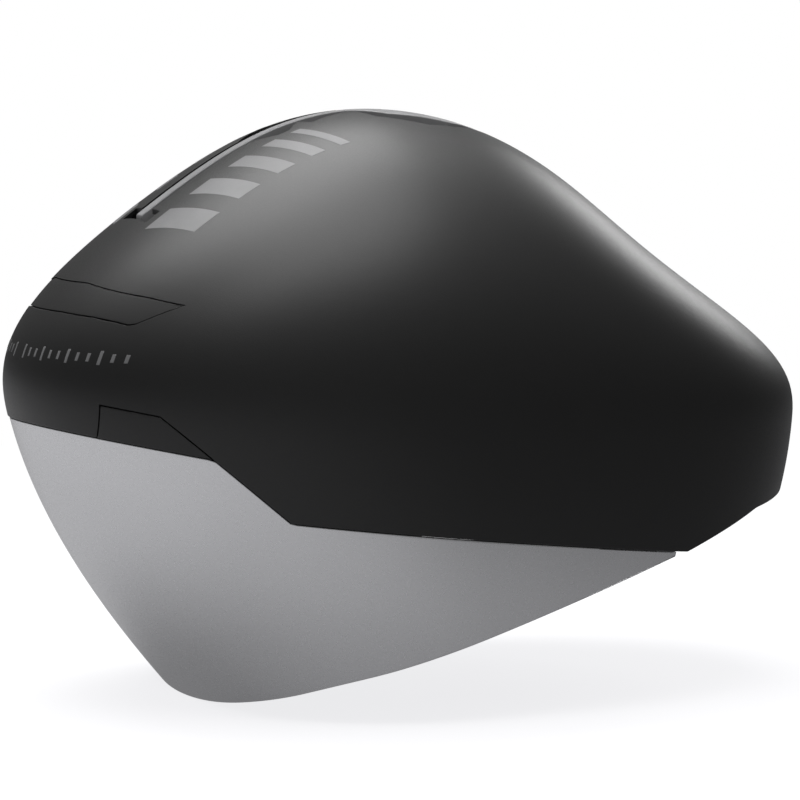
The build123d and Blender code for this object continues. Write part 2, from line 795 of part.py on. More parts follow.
pinion_start = cradle_back + back_wall + seat_gap
pinion = rod((pinion_start, 0, dial_level), (1, 0, 0), pinion_radius - tooth_height, pinion_length)
for i in range(pinion_teeth):
    turn = Pos(pinion_start + pinion_length / 2, 0, dial_level) * Rot(360 * i / pinion_teeth, 0, 0)
    tooth = Pos(0, 0, pinion_radius - tooth_height) * Box(pinion_length, tooth_height, 2 * tooth_height)
    pinion = pinion + turn * tooth
pinion = pinion - rod((pinion_start - overrun, 0, dial_level), (1, 0, 0), dial_shaft_radius, 3 * overrun)
parts["drive_pinion"] = pinion

# Chin straps: a front and a rear leg meet at the divider, and one leg runs to the buckle

def along_line(start, end, share):
    return tuple(a + (b - a) * share for a, b in zip(start, end))


def webbing(points, ups):
    return ribbon(points, ups, [strap_wall] * len(points), [strap_width] * len(points))


def side_leg(anchor):
    """Straight strap on the cheek, from past its pin to the fork."""
    start = along_line(anchor, fork, -strap_tail_share)
    return webbing([start, fork], [(anchor[2] - fork[2], 0, fork[0] - anchor[0])] * 2)


def strap(buckle_side):
    """Left strap: two legs meet at the fork, and one runs under the chin to the buckle."""
    end = (buckle_x, buckle_side + seat_gap, buckle_z)
    before = (buckle_x, buckle_side + strap_width / 2, buckle_z)
    run = chin_route + [before, end]
    ups = [along_line(chin_up_fork, chin_up_buckle, i / (len(run) - 1)) for i in range(len(run))]
    whole_strap = side_leg(front_anchor) + side_leg(rear_anchor) + webbing(run, ups)
    for x, y, z in (front_anchor, rear_anchor):
        whole_strap = whole_strap - rod((x, 0, z), (0, 1, 0), pin_radius + running_gap, widest)
    return whole(whole_strap)


parts["strap_left"] = strap(socket_length)
parts["strap_right"] = mirror(strap(tongue_length), Plane.XZ)
pin_holes = [(x, y - strap_wall, z) for x, y, z in (front_anchor, rear_anchor)]

# Pins that hold the straps and the height post to the foam

pins = []
for point in pin_holes:
    head_y = point[1] - seat_gap - pin_head
    pin = rod((point[0], head_y, point[2]), (0, 1, 0), pin_head_radius, pin_head)
    pin = pin + rod((point[0], head_y, point[2]), (0, 1, 0), pin_radius, pin_length + strap_wall + pin_head)
    pins += list(both_sides(pin).values())
    for side in (1, -1):
        hole_start = (point[0], side * head_y, point[2])
        hole_length = pin_length + 3 * pin_head + strap_wall
        foam_cuts.append(rod(hole_start, (0, side, 0), pin_radius + running_gap, hole_length))
parts["strap_pins"] = whole(Compound(children=[p.solids()[0] for p in pins]))

post_pins = []
for z in post_pin_levels:
    post_pin = rod((post_front + seat_gap, 0, z), (-1, 0, 0), pin_radius, pin_length)
    post_pin = post_pin + rod((post_front + seat_gap, 0, z), (1, 0, 0), post_pin_head_radius, pin_head)
    hole = rod((post_front + overrun, 0, z), (-1, 0, 0), pin_radius + running_gap, pin_length + 2 * overrun)
    parts["height_post"] = parts["height_post"] - hole
    foam_cuts.append(hole)
    post_pins.append(post_pin)
parts["post_pins"] = whole(Compound(children=[p.solids()[0] for p in post_pins]))

# The liner, in three segments a side: each is made on the left and mirrored

left_part = block(-rear_reach, front_reach, foam_seam / 2, half_width, -skirt_depth, tallest)
left_foam = (foam_blank & left_part) - foam_cuts
foam_limits = [front_reach, *foam_splits, -rear_reach]
segments = []
for fore, aft in zip(foam_limits, foam_limits[1:]):
    reach = block(aft + foam_seam / 2, fore - foam_seam / 2, 0, half_width, -skirt_depth, tallest)
    for solid in both_sides(left_foam & reach).values():
        segments += solid.solids()
parts["foam_liner"] = Compound(children=segments)

# Strap dividers: a plate over each fork

divider_inner = fork[1] + strap_wall / 2 + seat_gap
divider = block(
    fork[0] - divider_size / 2, fork[0] + divider_size / 2, divider_inner, divider_inner + divider_wall,
    fork[2] - divider_size / 2, fork[2] + divider_size / 2,
)
divider = fillet(divider.edges().filter_by(Axis.Y), divider_size / 5)
for name, solid in both_sides(divider).items():
    parts["strap_divider_" + name] = solid

# Side release buckle under the chin: a socket on the left strap, a tongue on the right one

half_wide = buckle_width / 2
half_high = buckle_height / 2
buckle_left = buckle_x - half_wide
buckle_right = buckle_x + half_wide
buckle_low = buckle_z - half_high
buckle_top = buckle_z + half_high
socket = block(buckle_left, buckle_right, seat_gap / 2, socket_length, buckle_low, buckle_top)
socket = fillet(socket.edges().filter_by(Axis.Y), half_high / 2)
prong_room = prong_length + 2 * seat_gap
room_wide = half_wide - buckle_wall
room_high = prong_height / 2 + seat_gap
room_low = buckle_z - room_high
room_top = buckle_z + room_high
prong_low = buckle_z - prong_height / 2
prong_top = buckle_z + prong_height / 2
socket = socket - block(buckle_x - room_wide, buckle_x + room_wide, -overrun, prong_room, room_low, room_top)
window_end = prong_room - buckle_wall
socket = socket - block(
    buckle_left - overrun, buckle_right + overrun, prong_room / 3, window_end, prong_low, prong_top
)
parts["buckle_socket"] = socket

tongue = block(buckle_left, buckle_right, -tongue_length, -seat_gap / 2, buckle_low, buckle_top)
tongue = fillet(tongue.edges().filter_by(Axis.Y), half_high / 2)
for side in (-1, 0, 1):
    x = buckle_x + side * (room_wide - prong_width / 2 - seat_gap)
    prong = block(x - prong_width / 2, x + prong_width / 2, -seat_gap, prong_length, prong_low, prong_top)
    tongue = tongue + prong
parts["buckle_tongue"] = tongue

os.makedirs("parts", exist_ok=True)
for name, solid in parts.items():
    export_step(solid, os.path.join("parts", name + ".step"))
    print(name, len(solid.solids()), round(solid.volume))
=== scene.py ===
# %% [markdown]
# # Aero time trial helmet with a wrap-round visor
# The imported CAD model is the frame: it gives the bodies, the joints and every hard part inside.
# This script rebuilds the visible skins from the same shape formula, at a finer step and with
# rounded edges, makes the soft pieces, and gives every surface a procedural material.
# Lengths are written in millimetres and turned into metres where a mesh is made.

import bmesh
import bpy
import math
import numpy as np
from mathutils import Matrix, Vector
from mathutils.bvhtree import BVHTree


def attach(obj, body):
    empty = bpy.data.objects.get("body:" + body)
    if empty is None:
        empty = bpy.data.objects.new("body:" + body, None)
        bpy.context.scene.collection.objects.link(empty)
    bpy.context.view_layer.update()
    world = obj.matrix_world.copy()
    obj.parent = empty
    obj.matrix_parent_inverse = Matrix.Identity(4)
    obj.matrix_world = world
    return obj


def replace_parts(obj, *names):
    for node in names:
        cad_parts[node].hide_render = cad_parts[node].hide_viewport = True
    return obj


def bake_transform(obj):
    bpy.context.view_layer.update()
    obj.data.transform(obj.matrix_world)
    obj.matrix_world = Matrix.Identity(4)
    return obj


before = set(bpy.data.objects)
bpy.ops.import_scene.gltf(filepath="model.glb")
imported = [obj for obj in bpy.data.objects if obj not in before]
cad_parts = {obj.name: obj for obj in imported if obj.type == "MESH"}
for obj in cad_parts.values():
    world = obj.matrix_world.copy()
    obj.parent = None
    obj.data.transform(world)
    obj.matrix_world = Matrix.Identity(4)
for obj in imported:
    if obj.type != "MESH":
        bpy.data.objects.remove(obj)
scene = bpy.context.scene
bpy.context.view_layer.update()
MM = 0.001

# %% [markdown]
# ## The shape of the shell
# The shell is one smooth form with no crease, so it could be sculpted, or lofted through sections.
# A formula serves better: the shell, the lens, the flush plates and the print all lie on it.
# Each level is one smooth outline: a full nose in front, and flanks that draw in towards the tail.
# Its reach is a Bernstein polynomial, and every layer under the shell is the same form moved inwards.

# %% Shape values in millimetres
front_reach, rear_reach, half_width, crown_height = 144.0, 165.0, 107.0, 119.5
skirt_depth, crown_shift, crown_margin = 110.0, 6.0, 1e-4

# Shares of each reach from the widest level up to the crown, and their bend below it
front_shares = [1.0, 1.05, 1.13, 0.915, 0.80, 0.80]
rear_shares = [1.0, 1.01, 1.02, 0.77, 0.63, 0.70, 0.64, 0.698]
side_shares = [1.0, 1.0, 1.03, 1.03]
front_skirt_shares, rear_skirt_shares, side_skirt_shares = [-0.30, 0.04], [-0.25], [-0.10]
skirt_thicken_share = 0.25
nose_power, flank_draw_share, tail_power = 2.1, 0.25, 6.0

# Walls, and the gaps between flush pieces
shell_wall, lens_wall, lens_inset, seam_gap, visor_gap = 1.6, 2.2, 0.5, 0.4, 0.2

# Counts of rows and columns, and the rounding of the rims in millimetres
shell_columns, shell_rows, crown_share = 288, 90, 0.995
lens_columns, lens_rows, plate_columns, plate_rows = 241, 44, 90, 12
shell_rounding, lens_rounding, plate_rounding, spine_rounding, print_rounding = 0.5, 0.45, 0.25, 0.5, 0.02

# Levels between which the lower edges lie, and how often a search halves its range
edge_search, lens_bottom, halvings = (-60.0, 40.0), -109.5, 40

# Side view corners of the shell's lower edge and of the visor's lower edge
shell_edge = [(-189.8, -22.6), (-119.9, -30.7), (-82.7, -43.8), (74.0, -26.1), (99.2, -3.1), (164.2, 9.4)]
visor_tip = (-77.2, -45.0)
visor_low = [(34.3, -80.9), (61.9, -90.9), (73.2, -96.6), (82.1, -101.4), (108.0, -108.9)]
visor_end_slope = -0.4


# %% Reach, flank and nose of every layer
def bernstein(shares, along):
    last = len(shares) - 1
    return sum(math.comb(last, i) * along**i * (1 - along) ** (last - i) * s for i, s in enumerate(shares))


def skirt(shares, bend, drop):
    slope = (len(shares) - 1) * (shares[1] - shares[0]) * skirt_depth / crown_height
    return 1 - slope * drop + sum(s * drop ** (i + 2) for i, s in enumerate(bend))


def reaches(level, depth):
    """Front reach, rear reach and half width of a layer, for an array of levels."""
    up = np.clip(level / (crown_height - depth), 0, 1)
    arch = np.sqrt(1 - up**2)
    drop = np.maximum(-level, 0) / skirt_depth
    found = []
    for reach, shares, bend in (
        (front_reach, front_shares, front_skirt_shares),
        (rear_reach, rear_shares, rear_skirt_shares),
        (half_width, side_shares, side_skirt_shares),
    ):
        above = (reach - depth) * arch * bernstein(shares, up)
        below = reach * skirt(shares, bend, drop) - depth * (1 + skirt_thicken_share * drop)
        found.append(np.where(level >= 0, above, below))
    return found


def station(level, depth):
    return crown_shift * np.clip(level / (crown_height - depth), 0, 1) ** 2


def flank(x, level, depth):
    """Half width at a place in the side view."""
    front, rear, side = reaches(level, depth)
    x = x - station(level, depth)
    ahead = np.sqrt(np.maximum(1 - (np.maximum(x, 0) / front) ** nose_power, 0))
    back = np.clip(-x / rear, 0, 1)
    behind = (1 - flank_draw_share * back**2) * np.sqrt(1 - back**tail_power)
    return side * np.where(x >= 0, ahead, behind)


def nose(y, level, depth):
    """Forward reach at a place in the front view."""
    front, rear, side = reaches(level, depth)
    return station(level, depth) + front * np.maximum(1 - (y / side) ** 2, 0) ** (1 / nose_power)


def ring_point(turn, level, depth):
    """Point of one level's outline. The turn is 0 at the front, pi at the tail, negative on the right."""
    front, rear, side = reaches(level, depth)
    around = np.abs(turn)
    ahead = np.maximum(np.cos(np.minimum(around, np.pi / 2)), 0)
    back = np.sin(np.clip(around - np.pi / 2, 0, np.pi / 2))
    is_ahead = around <= np.pi / 2
    x = station(level, depth) + np.where(is_ahead, front * ahead ** (2 / nose_power), -rear * back)
    width = np.where(
        is_ahead,
        np.sin(np.minimum(around, np.pi / 2)),
        (1 - flank_draw_share * back**2) * np.sqrt(np.maximum(1 - back**tail_power, 0)),
    )
    return np.stack([x, np.sign(turn) * side * width, level + 0 * x], -1)


def outside(points, depth):
    """Below zero inside a layer, above zero outside it."""
    x, y, z = points[..., 0], points[..., 1], points[..., 2]
    front, rear, side = reaches(z, depth)
    x = x - station(z, depth)
    ahead = (np.maximum(x, 0) / front) ** nose_power + (y / side) ** 2 - 1
    back = np.maximum(-x, 0) / rear
    behind = (y / (side * (1 - flank_draw_share * back**2))) ** 2 + back**tail_power - 1
    return np.where(x >= 0, ahead, behind)


def skin_normals(points, depth, step=0.02):
    """Outward normals of a layer, from the slope of the form."""
    changes = [
        outside(points + step * axis, depth) - outside(points - step * axis, depth) for axis in np.eye(3)
    ]
    slope = np.stack(changes, -1)
    return slope / np.maximum(np.linalg.norm(slope, axis=-1, keepdims=True), 1e-12)


def halve(low, high, is_below):
    """Narrows ranges from low to high down to the values at which is_below stops being true."""
    for _ in range(halvings):
        middle = (low + high) / 2
        below = is_below(middle)
        low, high = np.where(below, middle, low), np.where(below, high, middle)
    return (low + high) / 2


def crown_level(x, y, depth):
    """Level of a layer over a place in the plan."""
    low, high = np.zeros_like(x + y), np.full_like(x + y, crown_height - depth - crown_margin)
    x, y = x + low, y + low
    return halve(low, high, lambda level: outside(np.stack([x, y, level], -1), depth) < 0)


# %% [markdown]
# ## Mesh helpers
# A skin could be one sheet with a Solidify modifier, but that leaves the formula. Here it is two
# grids, outer and inner, with a wall between them. Only the rim edges carry a bevel weight, so the
# rounding stays clean, and weighted normals keep the sheet smooth.


# %% Make a mesh object and bake its modifiers
def add_object(name, data):
    made = bpy.data.objects.new(name, data)
    scene.collection.objects.link(made)
    return made


def new_object(name, points, faces, material):
    """Closed mesh from points in millimetres, with its faces turned outwards."""
    mesh = bpy.data.meshes.new(name)
    mesh.from_pydata([Vector(p) * MM for p in points], [], faces)
    mesh.validate()
    turned = bmesh.new()
    turned.from_mesh(mesh)
    bmesh.ops.recalc_face_normals(turned, faces=turned.faces)
    turned.to_mesh(mesh)
    turned.free()
    mesh.materials.append(material)
    mesh.shade_smooth()
    return add_object(name, mesh)


def points_of(mesh):
    points = np.empty(len(mesh.vertices) * 3)
    mesh.vertices.foreach_get("co", points)
    return points.reshape(-1, 3) / MM


def set_points(mesh, points):
    mesh.vertices.foreach_set("co", (points * MM).ravel())
    mesh.update()


def unit(vectors):
    return vectors / np.linalg.norm(vectors, axis=-1, keepdims=True)


def evaluated_mesh(made):
    bpy.context.view_layer.update()
    graph = bpy.context.evaluated_depsgraph_get()
    return bpy.data.meshes.new_from_object(made.evaluated_get(graph))


def bake(made):
    """Replaces an object's mesh by its evaluated one, and clears the modifiers."""
    mesh = evaluated_mesh(made)
    old = made.data
    made.modifiers.clear()
    made.data = mesh
    mesh.name = made.name
    bpy.data.meshes.remove(old)
    return made


def round_edges(made, width, angle=None, segments=3):
    """Bevels the weighted edges, or all edges sharper than an angle in degrees."""
    bevel = made.modifiers.new("round", "BEVEL")
    bevel.width = width * MM
    bevel.segments = segments
    bevel.limit_method = "WEIGHT" if angle is None else "ANGLE"
    if angle is not None:
        bevel.angle_limit = math.radians(angle)
    bevel.use_clamp_overlap = angle is not None
    weighted = made.modifiers.new("normals", "WEIGHTED_NORMAL")
    weighted.keep_sharp = True
    weighted.weight = 100
    return made


def round_rims(made, is_rim, width):
    """Gives the rim edges their bevel weight, rounds them and bakes the result."""
    weights = made.data.attributes.new("bevel_weight_edge", "FLOAT", "EDGE")
    for edge in made.data.edges:
        if is_rim(*sorted(edge.vertices)):
            weights.data[edge.index].value = 1.0
    return bake(round_edges(made, width))


def sheet_solid(name, outer, inner, material, rounding):
    """Closed skin between two grids of points, with its outer and inner rims rounded."""
    rows, columns = outer.shape[:2]
    count = rows * columns
    points = np.concatenate([outer.reshape(-1, 3), inner.reshape(-1, 3)])
    faces = []
    for i in range(rows - 1):
        for j in range(columns - 1):
            a = i * columns + j
            faces.append((a, a + columns, a + columns + 1, a + 1))
            faces.append((count + a, count + a + 1, count + a + columns + 1, count + a + columns))
    index = np.arange(count).reshape(rows, columns)
    rim = np.concatenate([index[0], index[1:, -1], index[-1, -2::-1], index[-2:0:-1, 0]]).tolist()
    walls = list(zip(rim, rim[1:] + rim[:1]))
    faces += [(a, b, count + b, count + a) for a, b in walls]
    made = new_object(name, points, faces, material)
    rims = {tuple(sorted((a + sheet, b + sheet))) for a, b in walls for sheet in (0, count)}
    return round_rims(made, lambda a, b: (a, b) in rims, rounding)


def along_columns(low, high, shares):
    """Levels between two boundaries, one column for each place along them."""
    return low[None, :] + (high - low)[None, :] * np.asarray(shares)[:, None]


# %% [markdown]
# ## Materials
# Image maps would need unwrapping and would show their resolution, so each material is noise or waves
# in object coordinates. The relief is given in millimetres of real grain, so a close view and a far
# one show the same surface.


# %% Material helpers
tone_patch_mm, cool_share = 22.0, 1.02


def material(name):
    made = bpy.data.materials.new(name)
    made.use_nodes = True
    tree = made.node_tree
    shader = tree.nodes["Principled BSDF"]
    place = tree.nodes.new("ShaderNodeTexCoord")
    return made, tree, shader, place.outputs["Object"]


def link(tree, value, socket):
    tree.links.new(value, socket)


def preset(node, values):
    for socket, value in values.items():
        node.inputs[socket].default_value = value


def noise(tree, place, size_mm, detail=3.0, roughness=0.6):
    texture = tree.nodes.new("ShaderNodeTexNoise")
    preset(texture, {"Scale": 1 / (size_mm * MM), "Detail": detail, "Roughness": roughness})
    link(tree, place, texture.inputs["Vector"])
    return texture.outputs["Fac"]


def spread(tree, value, low, high, start=0.3, end=0.7):
    """Maps a value between two limits to another range."""
    node = tree.nodes.new("ShaderNodeMapRange")
    preset(node, {"From Min": start, "From Max": end, "To Min": low, "To Max": high})
    link(tree, value, node.inputs["Value"])
    return node.outputs["Result"]


def mix_colour(tree, value, first, second):
    """Mixes two colours, each a tuple or another node's output."""
    node = tree.nodes.new("ShaderNodeMix")
    node.data_type = "RGBA"
    for name, colour in (("A", first), ("B", second)):
        if isinstance(colour, tuple):
            node.inputs[name].default_value = (*colour, 1)
        else:
            link(tree, colour, node.inputs[name])
    link(tree, value, node.inputs["Factor"])
    return node.outputs["Result"]


def wave(tree, place, axis, scale, distortion=0.0):
    node = tree.nodes.new("ShaderNodeTexWave")
    node.bands_direction = axis
    preset(node, {"Scale": scale, "Distortion": distortion, "Detail Scale": 3.0})
    link(tree, place, node.inputs["Vector"])
    return node.outputs["Fac"]


def combine(tree, operation, first, second):
    node = tree.nodes.new("ShaderNodeMath")
    node.operation = operation
    link(tree, first, node.inputs[0])
    link(tree, second, node.inputs[1])
    return node.outputs["Value"]


def part_of(tree, place, axis):
    node = tree.nodes.new("ShaderNodeSeparateXYZ")
    link(tree, place, node.inputs["Vector"])
    return node.outputs[axis]


def bump(tree, shader, height, distance_mm):
    node = tree.nodes.new("ShaderNodeBump")
    node.inputs["Distance"].default_value = distance_mm * MM
    link(tree, height, node.inputs["Height"])
    link(tree, node.outputs["Normal"], shader.inputs["Normal"])


def moulded(name, dark, light, rough, grain_mm=0.5, grain_depth=0.03, gloss=0.5, density=1.5):
    """Moulded or painted plastic: a slow change of tone, and a fine grain in roughness and relief."""
    made, tree, shader, place = material(name)
    slow = noise(tree, place, tone_patch_mm)
    fine = noise(tree, place, grain_mm, 2.0, 0.7)
    link(tree, mix_colour(tree, spread(tree, slow, 0, 1), dark, light), shader.inputs["Base Color"])
    link(tree, spread(tree, fine, *rough), shader.inputs["Roughness"])
    preset(shader, {"Specular IOR Level": gloss, "IOR": density})
    bump(tree, shader, fine, grain_depth)
    return made


def grey(value):
    return (value, value, value * cool_share)


# %% Material list: name, dark and light tone, roughness range, grain size and depth, gloss, density
shell_black = moulded("shell_black", grey(0.004), grey(0.005), (0.36, 0.50), 0.4, 0.03, 0.55, 1.5)
dock_black = moulded("dock_black", grey(0.004), grey(0.005), (0.38, 0.51), 0.4, 0.03, 0.55, 1.48)
print_grey = moulded("print_grey", grey(0.15), grey(0.18), (0.38, 0.52), 0.45, 0.012)
# The spine's light grey tone is a painted highlight: it stands in for the light that its glossy strip
# reflects.
spine_grey = moulded("spine_grey", grey(0.24), grey(0.30), (0.30, 0.42), 0.5, 0.01)
duct_black = moulded("duct_black", grey(0.008), grey(0.012), (0.6, 0.8), 0.7, 0.03, 0.3)
frame_black = moulded("frame_black", grey(0.014), grey(0.02), (0.45, 0.6), 0.6, 0.02)
band_black = moulded("band_black", grey(0.016), grey(0.022), (0.25, 0.38), 0.8, 0.01)
buckle_black = moulded("buckle_black", grey(0.014), grey(0.02), (0.42, 0.58), 0.35, 0.02)
pin_black = moulded("pin_black", grey(0.02), grey(0.03), (0.4, 0.55), 0.5, 0.015)
rubber_black = moulded("rubber_black", grey(0.022), grey(0.03), (0.62, 0.78), 0.5, 0.03, 0.35)
acetal_white = moulded("acetal_white", (0.62, 0.62, 0.58), (0.68, 0.68, 0.65), (0.3, 0.42), 0.8, 0.008)


def metal(name, tones, tone_mm, detail, grain_mm, rough, share):
    """Polished metal or a mirror coat: its tone and its roughness change, each at its own size."""
    made, tree, shader, place = material(name)
    tone = spread(tree, noise(tree, place, tone_mm, detail), 0, 1)
    link(tree, mix_colour(tree, tone, *map(grey, tones)), shader.inputs["Base Color"])
    shader.inputs["Metallic"].default_value = share
    link(tree, spread(tree, noise(tree, place, grain_mm, 2.0), *rough), shader.inputs["Roughness"])
    return made


def bead_foam(name, cell_mm=3.0, seam=0.12, paint_from=90.0, paint_full=94.0):
    """Moulded bead foam: cells with dark seams, sprayed black round the crown channel."""
    made, tree, shader, place = material(name)
    cells = tree.nodes.new("ShaderNodeTexVoronoi")
    cells.feature = "DISTANCE_TO_EDGE"
    cells.inputs["Scale"].default_value = 1 / (cell_mm * MM)
    link(tree, place, cells.inputs["Vector"])
    edge = spread(tree, cells.outputs["Distance"], 0, 1, 0.0, seam)
    tone = mix_colour(tree, edge, grey(0.022), grey(0.045))
    painted = spread(tree, part_of(tree, place, "Z"), 0, 1, paint_from * MM, paint_full * MM)
    link(tree, mix_colour(tree, painted, tone, grey(0.006)), shader.inputs["Base Color"])
    shader.inputs["Roughness"].default_value = 0.72
    bump(tree, shader, edge, 0.12)
    return made


def knit_fabric(name, thread_mm=3.2):
    """Brushed knit: crossed fine threads, soft fuzz and a sheen."""
    made, tree, shader, place = material(name)
    threads = [wave(tree, place, axis, 1 / (thread_mm * MM), 1.5) for axis in "XZ"]
    weave = combine(tree, "MAXIMUM", *threads)
    both = combine(tree, "ADD", weave, noise(tree, place, 0.9, 3.0, 0.7))
    tone = mix_colour(tree, spread(tree, both, 0, 1, 0.6, 1.5), grey(0.020), grey(0.050))
    link(tree, tone, shader.inputs["Base Color"])
    preset(shader, {"Roughness": 0.92, "Sheen Weight": 0.35, "Sheen Roughness": 0.5})
    bump(tree, shader, both, 0.15)
    return made


def ribbed_webbing(name, rib=1.1, edge=1.6, waves=0.32):
    """Strap webbing: its own UV runs along the strap, so the ribs cross it everywhere."""
    made, tree, shader, place = material(name)
    along = tree.nodes.new("ShaderNodeUVMap")
    along.uv_map = "run"
    sizes = (("X", rib), ("Y", edge))
    heights = [wave(tree, along.outputs["UV"], axis, waves / size) for axis, size in sizes]
    weave = combine(tree, "MULTIPLY", *heights)
    link(tree, mix_colour(tree, weave, grey(0.010), grey(0.030)), shader.inputs["Base Color"])
    preset(shader, {"Roughness": 0.85, "Sheen Weight": 0.2})
    bump(tree, shader, weave, 0.2)
    return made


visor_mirror = metal("visor_mirror", (0.70, 0.73), 60.0, 1.0, 0.8, (0.27, 0.29), 0.95)
magnet_nickel = metal("magnet_nickel", (0.55, 0.62), 0.4, 2.0, 0.4, (0.18, 0.32), 1.0)
foam_dark = bead_foam("foam_dark")
pad_knit = knit_fabric("pad_knit")
strap_rib = ribbed_webbing("strap_rib")


# %% [markdown]
# ## Outer shell
# The shell is thin and smooth, with windows for the crown channel, the dock plate and the brow covers.
# A grid laid round the windows would pinch the skin. So the whole bowl is built, with columns from
# the lower edge to the crown, and the windows are cut with exact booleans. The sheet then takes its
# normals from the formula, so that the cuts leave no mark in the shading.


# %% Solve the boundaries of the skins in the side view
def shell_low(x):
    """Lower edge of the shell."""
    return np.interp(x, *zip(*shell_edge))


def visor_low_level(x):
    """Lower edge of the visor: straight from its tip, then a smooth turn down to the nose."""
    xs, zs = np.array([visor_tip] + visor_low).T
    straight = np.interp(x, xs[:2], zs[:2])
    spans = np.diff(xs)
    slopes = np.append(np.diff(zs) / spans, visor_end_slope)
    slopes[1] = slopes[0]
    i = np.clip(np.searchsorted(xs, x) - 1, 0, len(spans) - 1)
    t = np.clip((x - xs[i]) / spans[i], 0, 1)
    curve = zs[i] * (1 + 2 * t) * (1 - t) ** 2 + zs[i + 1] * t * t * (3 - 2 * t)
    curve = curve + spans[i] * (slopes[i] * t * (1 - t) ** 2 - slopes[i + 1] * t * t * (1 - t))
    return np.where(x < xs[1], straight, curve)


def boundary(turns, depth, level_at, low, high):
    """For each turn, the level at which the layer crosses a side view line."""
    low, high = np.full_like(turns, low), np.full_like(turns, high)
    return halve(low, high, lambda level: level <= level_at(ring_point(turns, level, depth)[..., 0]))


# %% Build the shell's sheet
def shell_grid(depth):
    """Rows from the lower edge to the crown, closer together near the crown."""
    turns = np.linspace(-math.pi, math.pi, shell_columns + 1)[:-1]
    top = crown_height - depth
    start = np.arcsin(np.clip(boundary(turns, depth, shell_low, *edge_search) / top, -1, 1))
    rise = (math.pi / 2 * crown_share - start)[None, :] * np.linspace(0, 1, shell_rows)[:, None]
    return ring_point(turns[None, :], top * np.sin(start[None, :] + rise), depth)


def ring_solid(name, outer, inner, material):
    """Closed shell of two bowls: rows run up from the rim, columns go all the way round."""
    rows, columns = outer.shape[:2]
    count = rows * columns
    points = list(outer.reshape(-1, 3)) + list(inner.reshape(-1, 3))
    faces = []
    for i in range(rows - 1):
        for j in range(columns):
            a, b = i * columns + j, i * columns + (j + 1) % columns
            faces.append((a, b, b + columns, a + columns))
            faces.append((count + a, count + a + columns, count + b + columns, count + b))
    for base, flip in ((0, False), (count, True)):
        top, tip = base + (rows - 1) * columns, len(points)
        points.append(np.mean(points[top : top + columns], axis=0))
        for j in range(columns):
            a, b = top + j, top + (j + 1) % columns
            faces.append((b, a, tip) if flip else (a, b, tip))
    for j in range(columns):
        a, b = j, (j + 1) % columns
        faces.append((b, a, count + a, count + b))
    made = new_object(name, points, faces, material)
    return round_rims(made, lambda a, b: b < columns or count <= a and b < count + columns, shell_rounding)


shell = ring_solid("shell_skin", shell_grid(0.0), shell_grid(shell_wall), shell_black)
print("shell vertices:", len(shell.data.vertices))

# %% Outlines of the windows
channel_half = [
    (0.694, 0.0), (0.694, 0.113), (0.655, 0.117), (0.657, 0.05), (0.390, 0.05), (0.330, 0.128),
    (0.298, 0.128), (0.255, 0.056), (0.233, 0.128), (0.104, 0.066), (0.076, 0.200), (-0.042, 0.299),
    (-0.125, 0.290), (-0.42, 0.095), (-0.57, 0.0),
]
channel_half = [(x * front_reach, y * half_width) for x, y in channel_half]
dock_half = [
    (0.0, 57.4), (17.4, 57.4), (49.6, 53.7), (62.5, 51.3), (52.3, 44.0), (49.6, 43.5),
    (43.9, 44.5), (34.2, 45.6), (15.8, 46.5), (0.0, 46.6),
]
cover_outline = [(131.8, -5.5), (131.8, 15.5), (115.5, 12.2), (99.2, -3.1), (97.2, -5.5)]
channel_reach, dock_reach, cover_reach = (30.0, 130.0), (48.0, 160.0), (13.0, 120.0)
same_side = 0.96


def mirrored(half):
    return half + [(a, -b) for a, b in reversed(half[1:-1])]


def prism(name, corners, low, high, axes):
    """Cutting body over a flat outline. The axes say where its two flat values and its level go."""
    order = np.argsort(axes)
    points = [np.array([a, b, level])[order] for level in (low, high) for a, b in corners]
    n = len(corners)
    faces = [tuple(range(n)), tuple(range(2 * n - 1, n - 1, -1))]
    faces += [(i, (i + 1) % n, n + (i + 1) % n, n + i) for i in range(n)]
    return new_object(name, points, faces, shell_black)


def cut(made, cutters):
    for cutter in cutters:
        boolean = made.modifiers.new("cut", "BOOLEAN")
        boolean.operation = "DIFFERENCE"
        boolean.solver = "EXACT"
        boolean.object = cutter
    bake(made)
    for cutter in cutters:
        bpy.data.objects.remove(cutter)


def take_form_normals(made, wall):
    """Corners on the outer or inner sheet take the formula's normal, the others keep their face's."""
    mesh = made.data
    points = points_of(mesh)
    outer, inner = skin_normals(points, 0.0), skin_normals(points, wall)
    normals = []
    for face in mesh.polygons:
        flat = np.array(face.normal)
        for vertex in face.vertices:
            for normal in (outer[vertex], -inner[vertex]):
                if flat @ normal > same_side:
                    normals.append(normal)
                    break
            else:
                normals.append(flat)
    mesh.normals_split_custom_set(normals)


dock_outline = dock_half + [(-y, z) for y, z in reversed(dock_half[1:-1])]
windows = [
    prism("channel_cutter", mirrored(channel_half), *channel_reach, (0, 1, 2)),
    prism("dock_cutter", dock_outline, *dock_reach, (1, 2, 0)),
    prism("cover_cutter_left", cover_outline, *cover_reach, (0, 2, 1)),
    prism("cover_cutter_right", cover_outline, -cover_reach[1], -cover_reach[0], (0, 2, 1)),
]
cut(shell, windows)
take_form_normals(shell, shell_wall)
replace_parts(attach(shell, "helmet"), "outer_shell")

# %% [markdown]
# ## Visor lens
# The lens carries the shell's form on downwards, a little inside it. It could be bent from a flat
# sheet, but a mirror coat shows every wave of a mesh. So it is one grid on the formula from tip to
# tip, with no seam at the nose. Its least height keeps the tips from closing to a line.


# %% Build the lens
tip_height = 0.6


def lens_grid(depth):
    end = tip_turn(depth)
    turns = np.linspace(-end, end, lens_columns)
    high = boundary(turns, depth, lambda x: shell_low(x) - visor_gap, *edge_search)
    low = boundary(turns, depth, visor_low_level, lens_bottom, 0.0)
    levels = along_columns(np.minimum(low, high - tip_height), high, np.linspace(0, 1, lens_rows))
    return ring_point(turns[None, :], levels, depth)


